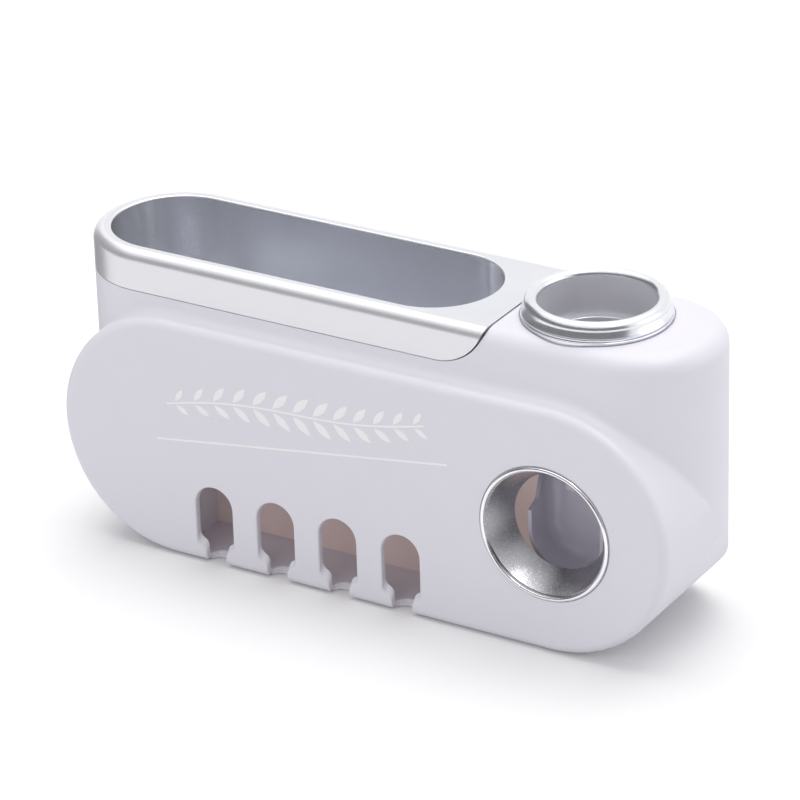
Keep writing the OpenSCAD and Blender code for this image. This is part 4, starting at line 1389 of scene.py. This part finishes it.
def make_floor(stage, steps=128):
    """A round pale floor that throws back less light than it shows."""
    level = SHELL_LOW.z - stage.floor_gap
    bm = bmesh.new()
    bmesh.ops.create_circle(bm, cap_ends=True, segments=steps, radius=stage.floor_radius)
    bmesh.ops.translate(bm, vec=(0.0, 0.0, level), verts=bm.verts)
    floor = to_piece("floor", bm)
    material, shader = new_material("pale_floor")
    tree = material.node_tree
    shade = mixed_tone(tree, seen_ray(tree), stage.floor_bounce, stage.floor)
    tree.links.new(shade, shader.inputs["Base Color"])
    shader.inputs["Roughness"].default_value = MATT
    shader.inputs["Specular IOR Level"].default_value = 0.0
    floor.data.materials.append(material)


def make_cloth(stage):
    """A dark cloth, upright behind the camera and flat on the floor at the left, seen only in gloss."""
    level, far = SHELL_LOW.z, stage.cloth_distance
    angles = (-stage.cloth_left, -stage.cloth_turn, stage.cloth_right)
    start, turned_up, end = [math.degrees(angle) - 90 for angle in angles]
    behind = arc(stage.aim, far, start, end, steps=32)
    centre = (SHELL_LOW.x + stage.cloth_near / 2, (SHELL_LOW.y + SHELL_HIGH.y) / 2)
    beside = [arc(centre, radius, start, turned_up, steps=24) for radius in (stage.cloth_near, far)]
    bm = bmesh.new()
    for chains in (
        [lay_flat(behind, z) for z in (level, level + stage.cloth_height)],
        [lay_flat(outline, level) for outline in beside],
    ):
        edges = [edge for chain in chains for edge in join_up(bm, chain, closed=False)]
        bmesh.ops.bridge_loops(bm, edges=edges)
    cloth = to_piece("dark_cloth", bm)
    material, shader = new_material("dark_cloth")
    shader.inputs["Base Color"].default_value = (*stage.cloth, 1.0)
    shader.inputs["Roughness"].default_value = MATT
    cloth.data.materials.append(material)
    cloth.visible_camera = False
    cloth.visible_diffuse = False
    cloth.visible_shadow = False


def make_world(stage):
    """White to the camera and in reflections, softer as a light on matt surfaces."""
    world = bpy.data.worlds.new("studio")
    world.use_nodes = True
    tree = world.node_tree
    light = tree.nodes["Background"]
    strength = tree.nodes.new("ShaderNodeMapRange")
    strength.inputs["To Min"].default_value = stage.ambient
    strength.inputs["To Max"].default_value = 1.0
    tree.links.new(seen_ray(tree), strength.inputs["Value"])
    link(tree, strength, "Result", light, "Strength")
    light.inputs["Color"].default_value = (1.0, 1.0, 1.0, 1.0)
    bpy.context.scene.world = world


def make_sun(name, strength, direction, spread, mirrored, matt):
    """A soft light that shines along a direction from a wide part of the sky."""
    data = bpy.data.lights.new(name, "SUN")
    data.energy = strength
    data.angle = math.radians(spread)
    sun = bpy.data.objects.new(name, data)
    sun.rotation_mode = "QUATERNION"
    sun.rotation_quaternion = Vector(direction).to_track_quat("-Z", "Y")
    sun.visible_glossy = mirrored
    sun.visible_diffuse = matt
    bpy.context.scene.collection.objects.link(sun)


def make_stage(settings):
    stage = settings.stage
    make_camera(stage)
    make_floor(stage)
    make_cloth(stage)
    make_world(stage)
    for name, values in SUNS.items():
        make_sun(name, getattr(stage, name), *values)
    bpy.context.scene.view_settings.view_transform = "Standard"


# Operators


class HOLDER_OT_shell(Operator):
    """Build the body shell with its raised face, slots and ring holes"""
    bl_idname = "holder.shell"
    bl_label = "Body shell"

    def execute(self, context):
        make_shell(context.scene.holder)
        return {"FINISHED"}


class HOLDER_OT_tray(Operator):
    """Build the plated storage tray"""
    bl_idname = "holder.tray"
    bl_label = "Storage tray"

    def execute(self, context):
        make_tray(context.scene.holder)
        return {"FINISHED"}


class HOLDER_OT_rings(Operator):
    """Build the front funnel and the tube collar"""
    bl_idname = "holder.rings"
    bl_label = "Funnel and collar"

    def execute(self, context):
        make_funnel(context.scene.holder)
        make_collar(context.scene.holder)
        return {"FINISHED"}


class HOLDER_OT_lever(Operator):
    """Build the glossy push lever"""
    bl_idname = "holder.lever"
    bl_label = "Push lever"

    def execute(self, context):
        make_lever(context.scene.holder)
        return {"FINISHED"}


class HOLDER_OT_pump(Operator):
    """Build the pump's silicone dome and its spring"""
    bl_idname = "holder.pump"
    bl_label = "Pump"

    def execute(self, context):
        make_pump(context.scene.holder)
        return {"FINISHED"}


class HOLDER_OT_ornament(Operator):
    """Build the white line and the leafy sprig on the face"""
    bl_idname = "holder.ornament"
    bl_label = "Face ornament"

    def execute(self, context):
        make_ornament(context.scene.holder)
        return {"FINISHED"}


class HOLDER_OT_back(Operator):
    """Build the rear cover, its screws, the wall plate and the adhesive pad"""
    bl_idname = "holder.back"
    bl_label = "Back"

    def execute(self, context):
        for make in (make_cover, make_screws, make_wall_plate):
            make(context.scene.holder)
        return {"FINISHED"}


class HOLDER_OT_inner(Operator):
    """Give the pieces inside their finishes"""
    bl_idname = "holder.inner"
    bl_label = "Inner pieces"

    def execute(self, context):
        dress_inner(context.scene.holder)
        return {"FINISHED"}


class HOLDER_OT_stage(Operator):
    """Set up the floor, the soft lights and the camera"""
    bl_idname = "holder.stage"
    bl_label = "Stage"

    def execute(self, context):
        make_stage(context.scene.holder)
        return {"FINISHED"}


OPERATORS = (
    HOLDER_OT_shell, HOLDER_OT_tray, HOLDER_OT_rings, HOLDER_OT_lever, HOLDER_OT_pump, HOLDER_OT_ornament,
    HOLDER_OT_back, HOLDER_OT_inner, HOLDER_OT_stage,
)


class HOLDER_PT_panel(Panel):
    """Steps that dress the toothbrush holder"""
    bl_idname = "HOLDER_PT_panel"
    bl_label = "Toothbrush holder"
    bl_space_type = "VIEW_3D"
    bl_region_type = "UI"
    bl_category = "Holder"

    def draw(self, context):
        for operator in OPERATORS:
            self.layout.operator(operator.bl_idname)


GROUPS = (
    ShellSizes, TraySizes, SlotSizes, DispenserSizes, LeverSizes, PumpSizes, OrnamentSizes, BackSizes,
    FinishColours, StageSizes, HolderSettings,
)


def register():
    for item in (*GROUPS, *OPERATORS, HOLDER_PT_panel):
        bpy.utils.register_class(item)
    bpy.types.Scene.holder = PointerProperty(type=HolderSettings)


def unregister():
    del bpy.types.Scene.holder
    for item in reversed((*GROUPS, *OPERATORS, HOLDER_PT_panel)):
        bpy.utils.unregister_class(item)


def main():
    register()
    bpy.ops.holder.shell()
    bpy.ops.holder.tray()
    bpy.ops.holder.rings()
    bpy.ops.holder.lever()
    bpy.ops.holder.pump()
    bpy.ops.holder.ornament()
    bpy.ops.holder.back()
    bpy.ops.holder.inner()
    bpy.ops.holder.stage()


if __name__ == "__main__":
    main()
